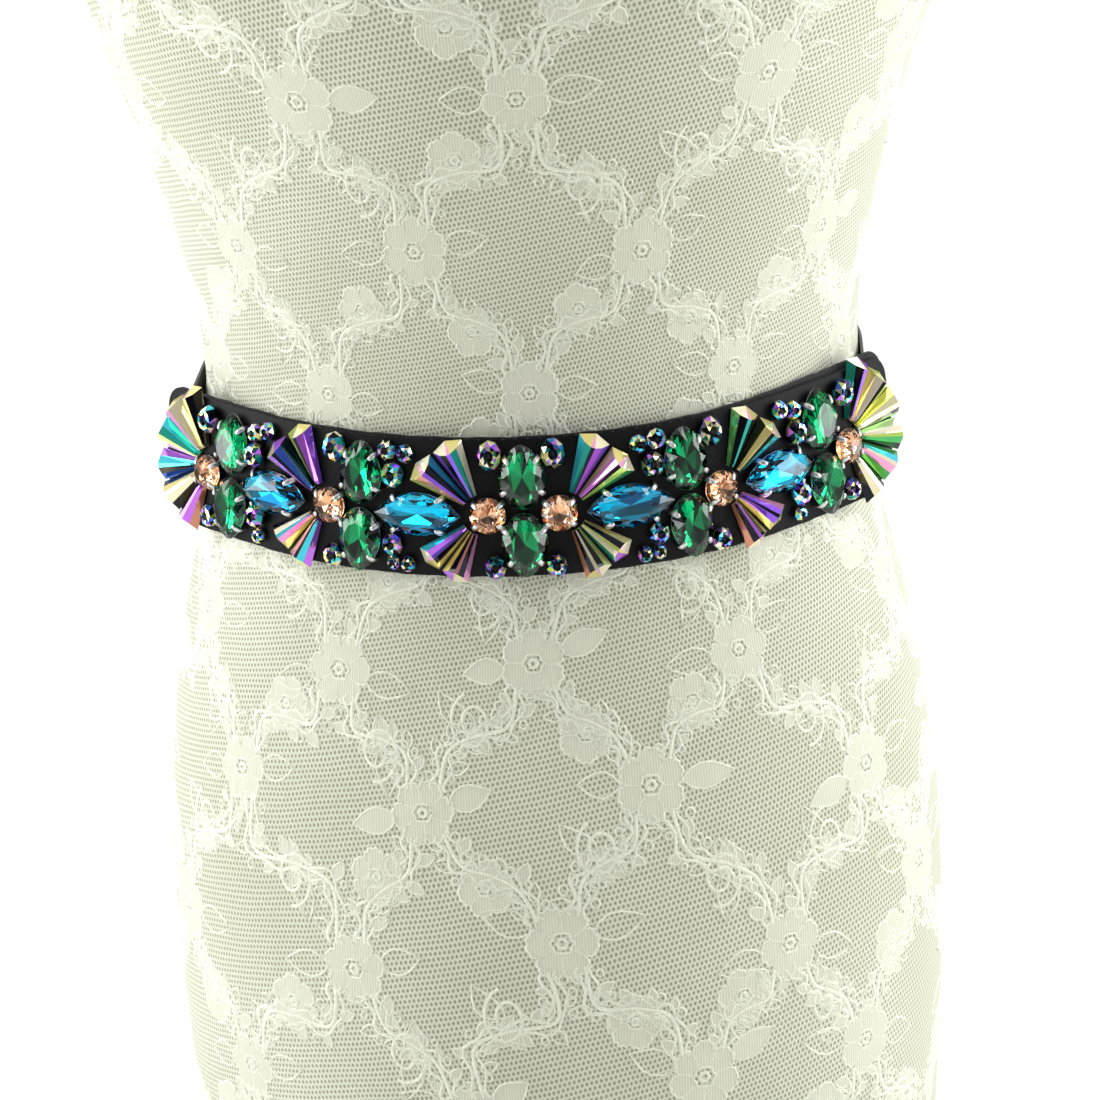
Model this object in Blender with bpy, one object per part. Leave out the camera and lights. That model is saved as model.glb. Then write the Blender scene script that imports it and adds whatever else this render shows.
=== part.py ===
"""Rhinestone belt on a dress form: a stiff black band set with foiled stones and tapered crystals,
held round a limbless torso form by two straps that snap together at the back.

Metres, +Z up. The front faces -Y, the form stands on Z = 0 and its axis is the Z axis."""

import math
from collections import namedtuple

import bpy
from mathutils import Matrix, Vector

# Dress form
FORM_HEIGHT = 0.820
FORM_SEGMENTS = 44
FORM_RINGS = 36
FORM_EDGE = 0.006
FORM_RIM_SHARE = 0.3
FORM_SHOULDER = 0.690
FORM_SHOULDER_RINGS = 10

Section = namedtuple("Section", "height half_width front back")
FORM_SECTIONS = (
    Section(0.000, 0.1590, 0.118, 0.124),
    Section(0.040, 0.1620, 0.120, 0.131),
    Section(0.090, 0.1642, 0.122, 0.136),
    Section(0.140, 0.1647, 0.123, 0.137),
    Section(0.180, 0.1630, 0.122, 0.134),
    Section(0.230, 0.1567, 0.119, 0.124),
    Section(0.270, 0.1491, 0.113, 0.113),
    Section(0.304, 0.1410, 0.1085, 0.106),
    Section(0.335, 0.1360, 0.1060, 0.101),
    Section(0.370, 0.1336, 0.1050, 0.098),
    Section(0.400, 0.1359, 0.1070, 0.099),
    Section(0.440, 0.1446, 0.113, 0.102),
    Section(0.480, 0.1565, 0.122, 0.106),
    Section(0.520, 0.1710, 0.132, 0.110),
    Section(0.560, 0.1810, 0.137, 0.112),
    Section(0.605, 0.1855, 0.130, 0.113),
    Section(0.650, 0.1860, 0.112, 0.112),
    Section(0.690, 0.1760, 0.094, 0.104),
    Section(0.718, 0.1500, 0.081, 0.090),
    Section(0.738, 0.1130, 0.069, 0.078),
    Section(0.754, 0.0800, 0.060, 0.068),
    Section(0.772, 0.0620, 0.055, 0.060),
    Section(0.795, 0.0560, 0.052, 0.055),
    Section(0.820, 0.0545, 0.051, 0.053),
)

# Belt: the middle line of the stones, which runs round the form and rises towards the back
BELT_HEIGHT = 0.330
BELT_TURN = math.radians(-2.1)
BELT_FRONT = -0.1131
BELT_TILT = math.radians(6.4)
BELT_LEAN = math.radians(5.0)
BELT_RADIUS = 0.161
BELT_BEND_END = 0.110
BELT_END_RADIUS = 0.600

# Front band, cloth over a stiff core, and the felt backing behind it
BAND_HALF_LENGTH = 0.170
BAND_TOP = 0.0295
BAND_BOTTOM = -0.0245
BAND_THICKNESS = 0.0016
BAND_CORNER = 0.007
BAND_FOOT_CORNER = 0.024
BAND_CORNER_TURNS = (18, 34, 47, 58, 69, 78, 86)
BAND_STATIONS = 48
BACKING_THICKNESS = 0.0012
BACKING_RISE = 0.0026
BACKING_RISE_START = 0.045
LAYER_GAP = 0.0003
EDGE_ROUNDING = 0.2

# Straps
STRAP_TOP = 0.0250
STRAP_BOTTOM = -0.0130
STRAP_THICKNESS = 0.0012
STRAP_CLEARANCE = 0.0008
STRAP_TAB = (0.147, 0.162)
STRAP_BEND = 0.004
STRAP_OVERLAP = math.radians(14.0)
STRAP_STATIONS = 26
STRAP_BEND_SHARES = (0.0, 0.33, 0.67, 1.0)
STRAP_RUN_SHARES = (0.4, 0.75)
SNAP_RADIUS = 0.0062
SNAP_HEIGHT = 0.0018
SNAP_PLACES = (0.0150, -0.0030)
SNAP_SEGMENTS = 16
SNAP_DOME = ((0.9, 0.0), (1.0, 0.35), (0.8, 0.8), (0.4, 1.0))  # share of the radius, of the height

# Stones: one repeat is a pair of pears, a round and a navette
REPEAT = 0.0639
ROUND_PLACE = 0.0134
NAVETTE_PLACE = 0.0405
PEAR_UPPER = 0.0146
PEAR_LOWER = -0.0117
PEAR_LENGTH = 0.0250
PEAR_WIDTH = 0.0180
PEAR_HEIGHT = 0.0066
PEAR_TIP_TAPER = 0.30
PEAR_TIP_POWER = 1.2
ROUND_RADIUS = 0.0070
ROUND_HEIGHT = 0.0070
NAVETTE_LENGTH = 0.0345
NAVETTE_WIDTH = 0.0170
NAVETTE_HEIGHT = 0.0070
STONE_SEAT = 0.0003
STONE_RINGS = ((0.82, 0.0), (1.0, 0.34), (1.0, 0.50), (0.60, 1.0))  # share of the outline, of the height

# Crystals: tapered, ridged along their length, set in fans round the round stones
CRYSTAL_ROOT = 0.0078
CRYSTAL_ROOT_END = 0.0070
CRYSTAL_CLEAR = 0.0078
CRYSTAL_REACH_UPPER = 0.0325
CRYSTAL_REACH_LOWER = 0.0295
CRYSTAL_REACH_END = 0.0325
CRYSTAL_RIDGE = 0.0058
CRYSTAL_VALLEY = 0.0018
CRYSTAL_ROOT_RIDGE = 0.0030
CRYSTAL_ROOT_VALLEY = 0.0014
CRYSTAL_SLANT = 0.0044
CRYSTAL_VALLEY_SLANT = 0.0010
CRYSTAL_NOTCH = 0.985
FAN_CRYSTALS = 2
FAN_START = math.radians(26.0)
FAN_SHIFT = 0.0025
CRYSTAL_SPREAD = math.radians(26.0)
END_FAN_CRYSTALS = 6
END_FAN_RISE = 0.0035


def clear_scene():
    for obj in list(bpy.data.objects):
        bpy.data.objects.remove(obj, do_unlink=True)


def linear(channel):
    if channel <= 0.04045:
        return channel / 12.92
    return ((channel + 0.055) / 1.055) ** 2.4


def material(name, colour, roughness, metallic=0.0):
    """A Principled material with its colour given as sRGB hex."""
    made = bpy.data.materials.new(name)
    made.use_nodes = True
    shader = made.node_tree.nodes["Principled BSDF"]
    channels = [linear(int(colour[i : i + 2], 16) / 255) for i in (0, 2, 4)]
    shader.inputs["Base Color"].default_value = (*channels, 1.0)
    shader.inputs["Roughness"].default_value = roughness
    shader.inputs["Metallic"].default_value = metallic
    return made


def solid_from_rings(name, rings, look):
    """A closed solid lofted through rings of equal length, with a flat cap at each end."""
    count = len(rings[0])
    points = [tuple(point) for ring in rings for point in ring]
    faces = [tuple(reversed(range(count)))]
    for row in range(len(rings) - 1):
        for i in range(count):
            j = (i + 1) % count
            low, high = row * count, (row + 1) * count
            faces.append((low + i, low + j, high + j, high + i))
    last = (len(rings) - 1) * count
    faces.append(tuple(range(last, last + count)))
    mesh = bpy.data.meshes.new(name)
    mesh.from_pydata(points, [], faces)
    mesh.materials.append(look)
    mesh.validate()
    mesh.update()
    obj = bpy.data.objects.new(name, mesh)
    bpy.context.scene.collection.objects.link(obj)
    mesh.shade_smooth()
    mesh.set_sharp_from_angle(angle=math.radians(30))
    return obj


def between(low, high, share):
    return low + (high - low) * share


def smooth_step(value):
    value = min(max(value, 0.0), 1.0)
    return value * value * (3 - 2 * value)


def form_section(height):
    """Half width, front depth and back depth of the form at a height, as a smooth curve through the table."""
    rows = FORM_SECTIONS
    height = min(max(height, rows[0].height), rows[-1].height)
    place = max(i for i in range(len(rows) - 1) if rows[i].height <= height)
    near = [rows[min(max(place + k, 0), len(rows) - 1)] for k in (-1, 0, 1, 2)]
    span = near[2].height - near[1].height
    t = (height - near[1].height) / span
    values = []
    for field in ("half_width", "front", "back"):
        before, low, high, after = (getattr(row, field) for row in near)
        rise_low = span * (high - before) / max(near[2].height - near[0].height, 1e-6)
        rise_high = span * (after - low) / max(near[3].height - near[1].height, 1e-6)
        values.append(
            low * (1 + 2 * t) * (1 - t) ** 2
            + rise_low * t * (1 - t) ** 2
            + high * t * t * (3 - 2 * t)
            + rise_high * t * t * (t - 1)
        )
    return values


def form_point(angle, height, offset=0.0):
    """A point on the form, or offset outside it. The angle runs from the front round towards +X."""
    half_width, front, back = form_section(height)
    depth = front if math.cos(angle) > 0 else back
    point = Vector((half_width * math.sin(angle), -depth * math.cos(angle), height))
    normal = Vector((math.sin(angle) / half_width, -math.cos(angle) / depth, 0)).normalized()
    return point + normal * offset, normal


def form_heights():
    """Heights of the rings: even along the body, closer round the shoulders and at the rounded rims."""
    body_count = FORM_RINGS - FORM_SHOULDER_RINGS
    body = [between(FORM_EDGE, FORM_SHOULDER, i / body_count) for i in range(body_count)]
    top_steps = FORM_SHOULDER_RINGS - 1
    top = [between(FORM_SHOULDER, FORM_HEIGHT - FORM_EDGE, i / top_steps) for i in range(FORM_SHOULDER_RINGS)]
    return body + top


def dress_form(look):
    """The torso, neck to hip, with a rounded rim at its flat bottom and its flat neck."""
    heights = form_heights()
    angles = [2 * math.pi * i / FORM_SEGMENTS for i in range(FORM_SEGMENTS)]
    rim = FORM_EDGE * FORM_RIM_SHARE
    rings = []
    for inset, height in ((FORM_EDGE, 0.0), (rim, rim)):
        rings.append([form_point(a, FORM_EDGE, -inset)[0] for a in angles])
        for point in rings[-1]:
            point.z = height
    rings += [[form_point(a, height)[0] for a in angles] for height in heights]
    for inset, height in ((rim, rim), (FORM_EDGE, 0.0)):
        rings.append([form_point(a, FORM_HEIGHT - FORM_EDGE, -inset)[0] for a in angles])
        for point in rings[-1]:
            point.z = FORM_HEIGHT - height
    return solid_from_rings("form_torso", rings, look)


def belt_heading(place):
    """How far the belt has turned from straight ahead, at a distance along it from its middle."""
    bent = min(abs(place), BELT_BEND_END) / BELT_RADIUS
    ends = max(abs(place) - BELT_BEND_END, 0.0) / BELT_END_RADIUS
    return math.copysign(bent + ends, place)


def belt_plan(place):
    """Where the belt's middle line is in plan, from its middle: an arc, then nearly straight ends."""
    turn = min(abs(place), BELT_BEND_END) / BELT_RADIUS
    x = BELT_RADIUS * math.sin(turn)
    y = BELT_RADIUS * (1 - math.cos(turn))
    rest = max(abs(place) - BELT_BEND_END, 0.0)
    if rest > 0:
        full = turn + rest / BELT_END_RADIUS
        x += BELT_END_RADIUS * (math.sin(full) - math.sin(turn))
        y += BELT_END_RADIUS * (math.cos(turn) - math.cos(full))
    return math.copysign(x, place), y


def belt_frame(place):
    """Origin, along, up and outward vectors on the band's outer face, at a distance from its middle."""
    x, y = belt_plan(place)
    heading = belt_heading(place)
    origin = Vector((x, BELT_FRONT + y, BELT_HEIGHT + y * math.tan(BELT_TILT)))
    level = Vector((math.sin(heading), -math.cos(heading), 0.0))
    along = Vector((math.cos(heading), math.sin(heading), math.sin(heading) * math.tan(BELT_TILT)))
    along.normalize()
    out = level * math.cos(BELT_LEAN) + Vector((0, 0, math.sin(BELT_LEAN)))
    out = (out - along * out.dot(along)).normalized()
    turn = Matrix.Rotation(BELT_TURN, 3, "Z")
    pivot = Vector((0, BELT_FRONT + BELT_RADIUS, 0))
    return pivot + turn @ (origin - pivot), turn @ along, turn @ out.cross(along), turn @ out


def belt_point(place, rise, out_by):
    origin, _, up, out = belt_frame(place)
    return origin + up * rise + out * out_by


def corner_inset(place, radius):
    """How much a rounded corner takes off one edge of the band near the band's ends."""
    past = abs(place) - (BAND_HALF_LENGTH - radius)
    if past <= 0:
        return 0.0
    return radius - math.sqrt(max(radius**2 - past**2, 0.0))


def band_places():
    """Places along the band, closer together in the rounded corners."""
    straight = BAND_HALF_LENGTH - BAND_FOOT_CORNER
    middle = [between(-straight, straight, i / BAND_STATIONS) for i in range(BAND_STATIONS + 1)]
    corner = [straight + BAND_FOOT_CORNER * math.sin(math.radians(a)) for a in BAND_CORNER_TURNS]
    return [-place for place in reversed(corner)] + middle + corner


def layer_ring(place, low, high, inner, outer):
    """The section of one cloth layer across the belt, its two edges slightly rounded."""
    edge = EDGE_ROUNDING * (outer - inner)
    middle = (inner + outer) / 2
    section = (
        (low + edge, inner),
        (between(low, high, 0.5), inner),
        (high - edge, inner),
        (high, middle),
        (high - edge, outer),
        (between(low, high, 0.5), outer),
        (low + edge, outer),
        (low, middle),
    )
    return [belt_point(place, rise, out_by) for rise, out_by in section]


def band_layer(name, look, outer, thickness, rise_of):
    rings = []
    for place in band_places():
        low = BAND_BOTTOM + corner_inset(place, BAND_FOOT_CORNER)
        high = BAND_TOP + rise_of(place) - corner_inset(place, BAND_CORNER)
        rings.append(layer_ring(place, low, high, outer - thickness, outer))
    return solid_from_rings(name, rings, look)


def backing_rise(place):
    """The backing stands a little above the band towards its right end."""
    length = BAND_HALF_LENGTH - BACKING_RISE_START
    return BACKING_RISE * smooth_step((place - BACKING_RISE_START) / length)


def strap_height(angle, rise):
    """The strap climbs towards the back like the rest of the belt."""
    depth = form_point(angle, BELT_HEIGHT)[0].y - BELT_FRONT
    return BELT_HEIGHT + depth * math.tan(BELT_TILT) + rise


def tangent_angle(point, rise):
    """Where a straight run from a point beside the form first touches the strap's line round it."""
    half_width, front, _ = form_section(strap_height(math.pi / 2, rise))
    across = abs(point.x) / (half_width + STRAP_CLEARANCE)
    ahead = -point.y / (front + STRAP_CLEARANCE)
    reach = max(math.hypot(across, ahead), 1.0)
    return math.pi - math.asin(1 / reach) - math.atan2(ahead, across)


def strap_line(side, overlap_gap):
    """Stations along a strap: each has its inner edge points, low to high, and its outward direction."""
    backing_inner = -BAND_THICKNESS - LAYER_GAP - BACKING_THICKNESS
    inner = backing_inner - LAYER_GAP - STRAP_THICKNESS
    rises = (STRAP_BOTTOM, (STRAP_BOTTOM + STRAP_TOP) / 2, STRAP_TOP)
    tab = []
    for place in STRAP_TAB:
        points = [belt_point(side * place, rise, inner) for rise in rises]
        tab.append((points, belt_frame(side * place)[3]))
    firsts = [tangent_angle(point, rise) for point, rise in zip(tab[1][0], rises)]
    last = math.pi + STRAP_OVERLAP / 2
    back = []
    for i in range(STRAP_STATIONS):
        points = []
        for first, rise in zip(firsts, rises):
            angle = between(first, last, i / (STRAP_STATIONS - 1))
            lift = overlap_gap * smooth_step((angle - math.pi + 1.6 * STRAP_OVERLAP) / STRAP_OVERLAP)
            point, normal = form_point(angle, strap_height(angle, rise), STRAP_CLEARANCE + lift)
            point.x *= side
            points.append(point)
        normal.x *= side
        back.append((points, normal))
    return round_bend(tab, back)


def round_bend(tab, back):
    """Joins the tab sewn behind the band to the stretch round the form by a small rounded bend."""
    (start, out_start), (corner, out_corner), (end, out_end) = tab[0], tab[1], back[0]
    stations = [(start, out_start)]
    for share in STRAP_BEND_SHARES:
        points = []
        for a, b, c in zip(start, corner, end):
            before = b + (a - b).normalized() * STRAP_BEND
            after = b + (c - b).normalized() * STRAP_BEND
            points.append(before.lerp(b, share).lerp(b.lerp(after, share), share))
        run = (end[1] - corner[1]).normalized()
        up = (corner[2] - corner[0]).normalized()
        out_run = run.cross(up)
        if out_run.dot(out_end) < 0:
            out_run.negate()
        stations.append((points, out_start.lerp(out_run, share).normalized()))
    for share in STRAP_RUN_SHARES:
        points = [b.lerp(c, share) for b, c in zip(corner, end)]
        stations.append((points, out_run.lerp(out_end, share * 0.5).normalized()))
    return stations + back


def strap(name, side, look, overlap_gap):
    rings = []
    for points, out in strap_line(side, overlap_gap):
        low, middle, high = points
        edge = (high - low).normalized() * (EDGE_ROUNDING * STRAP_THICKNESS)
        half, full = out * (STRAP_THICKNESS / 2), out * STRAP_THICKNESS
        ring = [low + edge, middle, high - edge, high + half]
        ring += [high - edge + full, middle + full, low + edge + full, low + half]
        rings.append(ring if side > 0 else list(reversed(ring)))
    return solid_from_rings(name, rings, look)


def snap_cap(name, rise, look):
    """A plain metal snap cap on the outer strap, at the middle of the back."""
    outer = STRAP_CLEARANCE + 2 * STRAP_THICKNESS + LAYER_GAP
    depth = form_point(math.pi, BELT_HEIGHT)[0].y - BELT_FRONT
    height = BELT_HEIGHT + depth * math.tan(BELT_TILT) + rise
    centre, normal = form_point(math.pi, height, outer + LAYER_GAP)
    low = form_point(math.pi, height - SNAP_RADIUS, outer + LAYER_GAP)[0]
    high = form_point(math.pi, height + SNAP_RADIUS, outer + LAYER_GAP)[0]
    up = (high - low).normalized()
    across = normal.cross(up).normalized()
    out = up.cross(across).normalized()
    rings = []
    for radius, level in SNAP_DOME:
        ring = []
        for i in range(SNAP_SEGMENTS):
            turn = 2 * math.pi * i / SNAP_SEGMENTS
            flat = up * math.cos(turn) - across * math.sin(turn)
            ring.append(centre + flat * (SNAP_RADIUS * radius) + out * (SNAP_HEIGHT * level))
        rings.append(ring)
    if (rings[0][1] - rings[0][0]).cross(rings[0][2] - rings[0][0]).dot(out) < 0:
        rings = [list(reversed(ring)) for ring in rings]
    return solid_from_rings(name, rings, look)


def round_outline(count=16):
    return [
        (ROUND_RADIUS * math.cos(2 * math.pi * i / count), ROUND_RADIUS * math.sin(2 * math.pi * i / count))
        for i in range(count)
    ]


def pear_outline(count=20):
    """A pear with its tip towards +Y, centred on its box."""
    outline = []
    for i in range(count):
        turn = -math.pi / 2 + 2 * math.pi * i / count
        taper = 1.0 - PEAR_TIP_TAPER * max(math.sin(turn), 0.0) ** PEAR_TIP_POWER
        outline.append((PEAR_WIDTH / 2 * math.cos(turn) * taper, PEAR_LENGTH / 2 * math.sin(turn)))
    return outline


def navette_outline(count=20):
    """Two arcs that meet in points at each end, along X."""
    half_length, half_width = NAVETTE_LENGTH / 2, NAVETTE_WIDTH / 2
    radius = (half_length**2 + half_width**2) / (2 * half_width)
    reach = math.asin(half_length / radius)
    upper = []
    for i in range(count // 2):
        turn = between(reach, -reach, i / (count // 2))
        upper.append((radius * math.sin(turn), radius * math.cos(turn) - radius + half_width))
    return upper + [(-x, -y) for x, y in upper]


def stone(name, place, rise, outline, height, look, point_down=False):
    """A stone in its cup: a flat seat, the girdle, the sloping crown and the flat table."""
    origin, along, up, out = belt_frame(place)
    flip = -1 if point_down else 1
    rings = []
    for scale, level in STONE_RINGS:
        ring = []
        for x, y in outline:
            flat = along * (x * scale * flip) + up * (rise + y * scale * flip)
            ring.append(origin + flat + out * (STONE_SEAT + (height - STONE_SEAT) * level))
        rings.append(ring)
    return solid_from_rings(name, rings, look)


def root_reach(centre, turn, least):
    """How far from its centre a fan starts in one direction, clear of the round stone it opens from."""
    toward = centre[0] * math.cos(turn) + centre[1] * math.sin(turn)
    offset = centre[0] ** 2 + centre[1] ** 2
    return max(math.sqrt(toward**2 - offset + CRYSTAL_CLEAR**2) - toward, least)


def crystal_fan(name, place, centre, first, count, least, full_reach, look):
    """Tapered crystals side by side, spreading from a centre: a ridge along each and a valley between."""
    origin, along, up, out = belt_frame(place)
    origin = origin + along * centre[0] + up * centre[1]
    rings = []
    for i in range(2 * count + 1):
        turn = first + CRYSTAL_SPREAD * i / 2
        ridge = i % 2 == 1
        start = root_reach(centre, turn, least)
        flat = along * math.cos(turn) + up * math.sin(turn)
        root = CRYSTAL_ROOT_RIDGE if ridge else CRYSTAL_ROOT_VALLEY
        tip = CRYSTAL_RIDGE if ridge else CRYSTAL_VALLEY
        reach = full_reach if ridge else full_reach * CRYSTAL_NOTCH
        slant = CRYSTAL_SLANT if ridge else CRYSTAL_VALLEY_SLANT
        section = (
            (start, root),
            (reach - slant, tip),
            (reach, STONE_SEAT),
            (start, STONE_SEAT),
        )
        rings.append([origin + flat * r + out * level for r, level in section])
    return solid_from_rings(name, rings, look)


def stones(looks):
    """Every stone of the front, mirrored about the pair of pears in the middle."""
    for side, mark in ((-1, "left"), (1, "right")):
        for number in (1, 2, 3):
            place = side * ((number - 1) * REPEAT + ROUND_PLACE)
            stone(f"round_{mark}_{number}", place, 0.0, round_outline(), ROUND_HEIGHT, looks["round"])
        for number in (1, 2):
            place = side * ((number - 1) * REPEAT + NAVETTE_PLACE)
            stone(f"navette_{mark}_{number}", place, 0.0, navette_outline(), NAVETTE_HEIGHT, looks["navette"])
            pair_of_pears(f"{mark}_{number}", side * number * REPEAT, looks["pear"])
            fans(mark, number, side, looks["crystal"])
        end_place = side * (2 * REPEAT + ROUND_PLACE)
        middle = 0.0 if side > 0 else math.pi
        first = middle - END_FAN_CRYSTALS * CRYSTAL_SPREAD / 2
        crystal_fan(
            f"end_fan_{mark}",
            end_place,
            (0.0, END_FAN_RISE),
            first,
            END_FAN_CRYSTALS,
            CRYSTAL_ROOT_END,
            CRYSTAL_REACH_END,
            looks["crystal"],
        )
    pair_of_pears("middle", 0.0, looks["pear"])


def pair_of_pears(mark, place, look):
    stone(f"pear_{mark}_upper", place, PEAR_UPPER, pear_outline(), PEAR_HEIGHT, look)
    stone(f"pear_{mark}_lower", place, PEAR_LOWER, pear_outline(), PEAR_HEIGHT, look, point_down=True)


def fans(mark, number, side, look):
    """The upper and the lower fan of one inner round stone, opening away from the belt's middle."""
    place = side * ((number - 1) * REPEAT + ROUND_PLACE)
    sweep = FAN_CRYSTALS * CRYSTAL_SPREAD
    upper = FAN_START if side > 0 else math.pi - FAN_START - sweep
    lower = -FAN_START - sweep if side > 0 else math.pi + FAN_START
    centre = (side * FAN_SHIFT, 0.0)
    for level, first, reach in (
        ("upper", upper, CRYSTAL_REACH_UPPER),
        ("lower", lower, CRYSTAL_REACH_LOWER),
    ):
        name = f"fan_{mark}_{number}_{level}"
        crystal_fan(name, place, centre, first, FAN_CRYSTALS, CRYSTAL_ROOT, reach, look)


def main():
    clear_scene()
    looks = {
        "form": material("lace_cover", "C8C6B4", 0.85),
        "band": material("black_satin", "1E1E20", 0.45),
        "backing": material("black_felt", "18181A", 0.95),
        "strap": material("black_elastic", "151517", 0.70),
        "snap": material("snap_metal", "B8B8BC", 0.25, 1.0),
        "round": material("amber_glass", "D09A72", 0.05),
        "pear": material("emerald_glass", "0B6B4A", 0.05),
        "navette": material("blue_glass", "0A6F9C", 0.05),
        "crystal": material("coated_crystal", "7A5A9C", 0.12, 0.9),
    }
    dress_form(looks["form"])
    band_layer("belt_band", looks["band"], 0.0, BAND_THICKNESS, lambda place: 0.0)
    outer = -BAND_THICKNESS - LAYER_GAP
    band_layer("belt_backing", looks["backing"], outer, BACKING_THICKNESS, backing_rise)
    strap("strap_left", -1, looks["strap"], 0.0)
    strap("strap_right", 1, looks["strap"], STRAP_THICKNESS + LAYER_GAP)
    for number, rise in enumerate(SNAP_PLACES, 1):
        snap_cap(f"snap_{number}", rise, looks["snap"])
    stones(looks)


main()
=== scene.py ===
"""Rhinestone belt on a dress form, dressed for the render: lace over the form, satin band with its felt
backing and elastic straps, foiled stones in claws, coated crystals and faceted beads.

Metres, +Z up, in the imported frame. The stones face -Y."""

import math
import random
from collections import namedtuple

import bpy
import numpy as np
from mathutils import Matrix, Vector


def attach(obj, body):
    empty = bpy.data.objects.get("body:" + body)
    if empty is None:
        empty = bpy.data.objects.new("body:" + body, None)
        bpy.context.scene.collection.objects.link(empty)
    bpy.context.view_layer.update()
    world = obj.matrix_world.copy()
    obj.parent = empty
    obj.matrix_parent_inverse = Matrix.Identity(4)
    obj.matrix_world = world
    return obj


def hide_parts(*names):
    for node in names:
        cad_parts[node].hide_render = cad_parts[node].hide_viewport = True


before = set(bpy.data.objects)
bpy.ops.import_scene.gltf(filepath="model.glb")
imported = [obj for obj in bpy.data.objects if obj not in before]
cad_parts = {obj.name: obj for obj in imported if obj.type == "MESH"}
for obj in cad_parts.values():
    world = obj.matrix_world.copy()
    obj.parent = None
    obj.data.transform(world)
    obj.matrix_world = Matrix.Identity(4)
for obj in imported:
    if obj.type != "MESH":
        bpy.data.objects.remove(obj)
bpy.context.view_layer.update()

# Dress form: its sections from the floor to the neck, as in the part
FORM_HEIGHT = 0.820
Section = namedtuple("Section", "height half_width front back")
FORM_SECTIONS = (
    Section(0.000, 0.1590, 0.118, 0.124),
    Section(0.040, 0.1620, 0.120, 0.131),
    Section(0.090, 0.1642, 0.122, 0.136),
    Section(0.140, 0.1647, 0.123, 0.137),
    Section(0.180, 0.1630, 0.122, 0.134),
    Section(0.230, 0.1567, 0.119, 0.124),
    Section(0.270, 0.1491, 0.113, 0.113),
    Section(0.304, 0.1410, 0.1085, 0.106),
    Section(0.335, 0.1360, 0.1060, 0.101),
    Section(0.370, 0.1336, 0.1050, 0.098),
    Section(0.400, 0.1359, 0.1070, 0.099),
    Section(0.440, 0.1446, 0.113, 0.102),
    Section(0.480, 0.1565, 0.122, 0.106),
    Section(0.520, 0.1710, 0.132, 0.110),
    Section(0.560, 0.1810, 0.137, 0.112),
    Section(0.605, 0.1855, 0.130, 0.113),
    Section(0.650, 0.1860, 0.112, 0.112),
    Section(0.690, 0.1760, 0.094, 0.104),
    Section(0.718, 0.1500, 0.081, 0.090),
    Section(0.738, 0.1130, 0.069, 0.078),
    Section(0.754, 0.0800, 0.060, 0.068),
    Section(0.772, 0.0620, 0.055, 0.060),
    Section(0.795, 0.0560, 0.052, 0.055),
    Section(0.820, 0.0545, 0.051, 0.053),
)

# Belt: the middle line of its stones, as in the part
BELT_HEIGHT = 0.330
BELT_TURN = math.radians(-2.1)
BELT_FRONT = -0.1131
BELT_TILT = math.radians(6.4)
BELT_LEAN = math.radians(5.0)
BELT_RADIUS = 0.161
BELT_BEND_END = 0.110
BELT_END_RADIUS = 0.600

BAND_HALF_LENGTH = 0.170
BAND_TOP = 0.0295
BAND_BOTTOM = -0.0245
BAND_THICKNESS = 0.0016
BAND_CORNER = 0.007
BAND_FOOT_CORNER = 0.024
BACKING_THICKNESS = 0.0012
BACKING_RISE = 0.0026
BACKING_RISE_START = 0.045
LAYER_GAP = 0.0003
# How far the threads' middle lies off the cloth that they are sewn through
THREAD_LIFT = 0.0001

STRAP_TOP = 0.0250
STRAP_BOTTOM = -0.0130
STRAP_THICKNESS = 0.0012
STRAP_CLEARANCE = 0.0008
STRAP_TAB = (0.147, 0.162)
STRAP_BEND = 0.004
STRAP_OVERLAP = math.radians(14.0)

# Where the layers behind the band's outer face lie: the backing's two faces and the strap tab's inner one
BACKING_OUTER = -BAND_THICKNESS - LAYER_GAP
BACKING_INNER = BACKING_OUTER - BACKING_THICKNESS
TAB_INNER = BACKING_INNER - LAYER_GAP - STRAP_THICKNESS

# Stones: they repeat along the belt in steps, mirrored about its middle
REPEAT = 0.0639
ROUND_PLACE = 0.0134
NAVETTE_PLACE = 0.0405
PEAR_UPPER = 0.0146
PEAR_LOWER = -0.0117
PEAR_LENGTH = 0.0250
PEAR_WIDTH = 0.0180
PEAR_HEIGHT = 0.0066
PEAR_TIP_TAPER = 0.30
PEAR_TIP_POWER = 1.2
ROUND_RADIUS = 0.0070
ROUND_HEIGHT = 0.0070
NAVETTE_LENGTH = 0.0345
NAVETTE_WIDTH = 0.0170
NAVETTE_HEIGHT = 0.0070
STONE_SEAT = 0.0003

CRYSTAL_ROOT = 0.0078
CRYSTAL_ROOT_END = 0.0070
CRYSTAL_CLEAR = 0.0078
CRYSTAL_REACH_UPPER = 0.0325
CRYSTAL_REACH_LOWER = 0.0295
CRYSTAL_REACH_END = 0.0325
CRYSTAL_SPREAD = math.radians(26.0)
FAN_START = math.radians(26.0)
FAN_SHIFT = 0.0025
END_FAN_RISE = 0.0035

# Lace: its own half-drop repeat, ten flowers round the form. The cut is how far the lacework keeps from the
# ends of the form, and the edge how far the net does. The last three are how high the net, the clothwork and
# the cords lie off the form.
LACE_GIRTH = 0.800
LACE_COLUMNS = 10
LACE_DROP = 0.056
LACE_CUT = 0.008
LACE_EDGE = 0.0035
LACE_GROUND = 0.00010
LACE_CLOTHWORK = 0.00026
LACE_CORD = 0.00055
# The net's two edges stop just short of each other at the middle of the back
LACE_SEAM_SHARE = 0.999999

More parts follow.
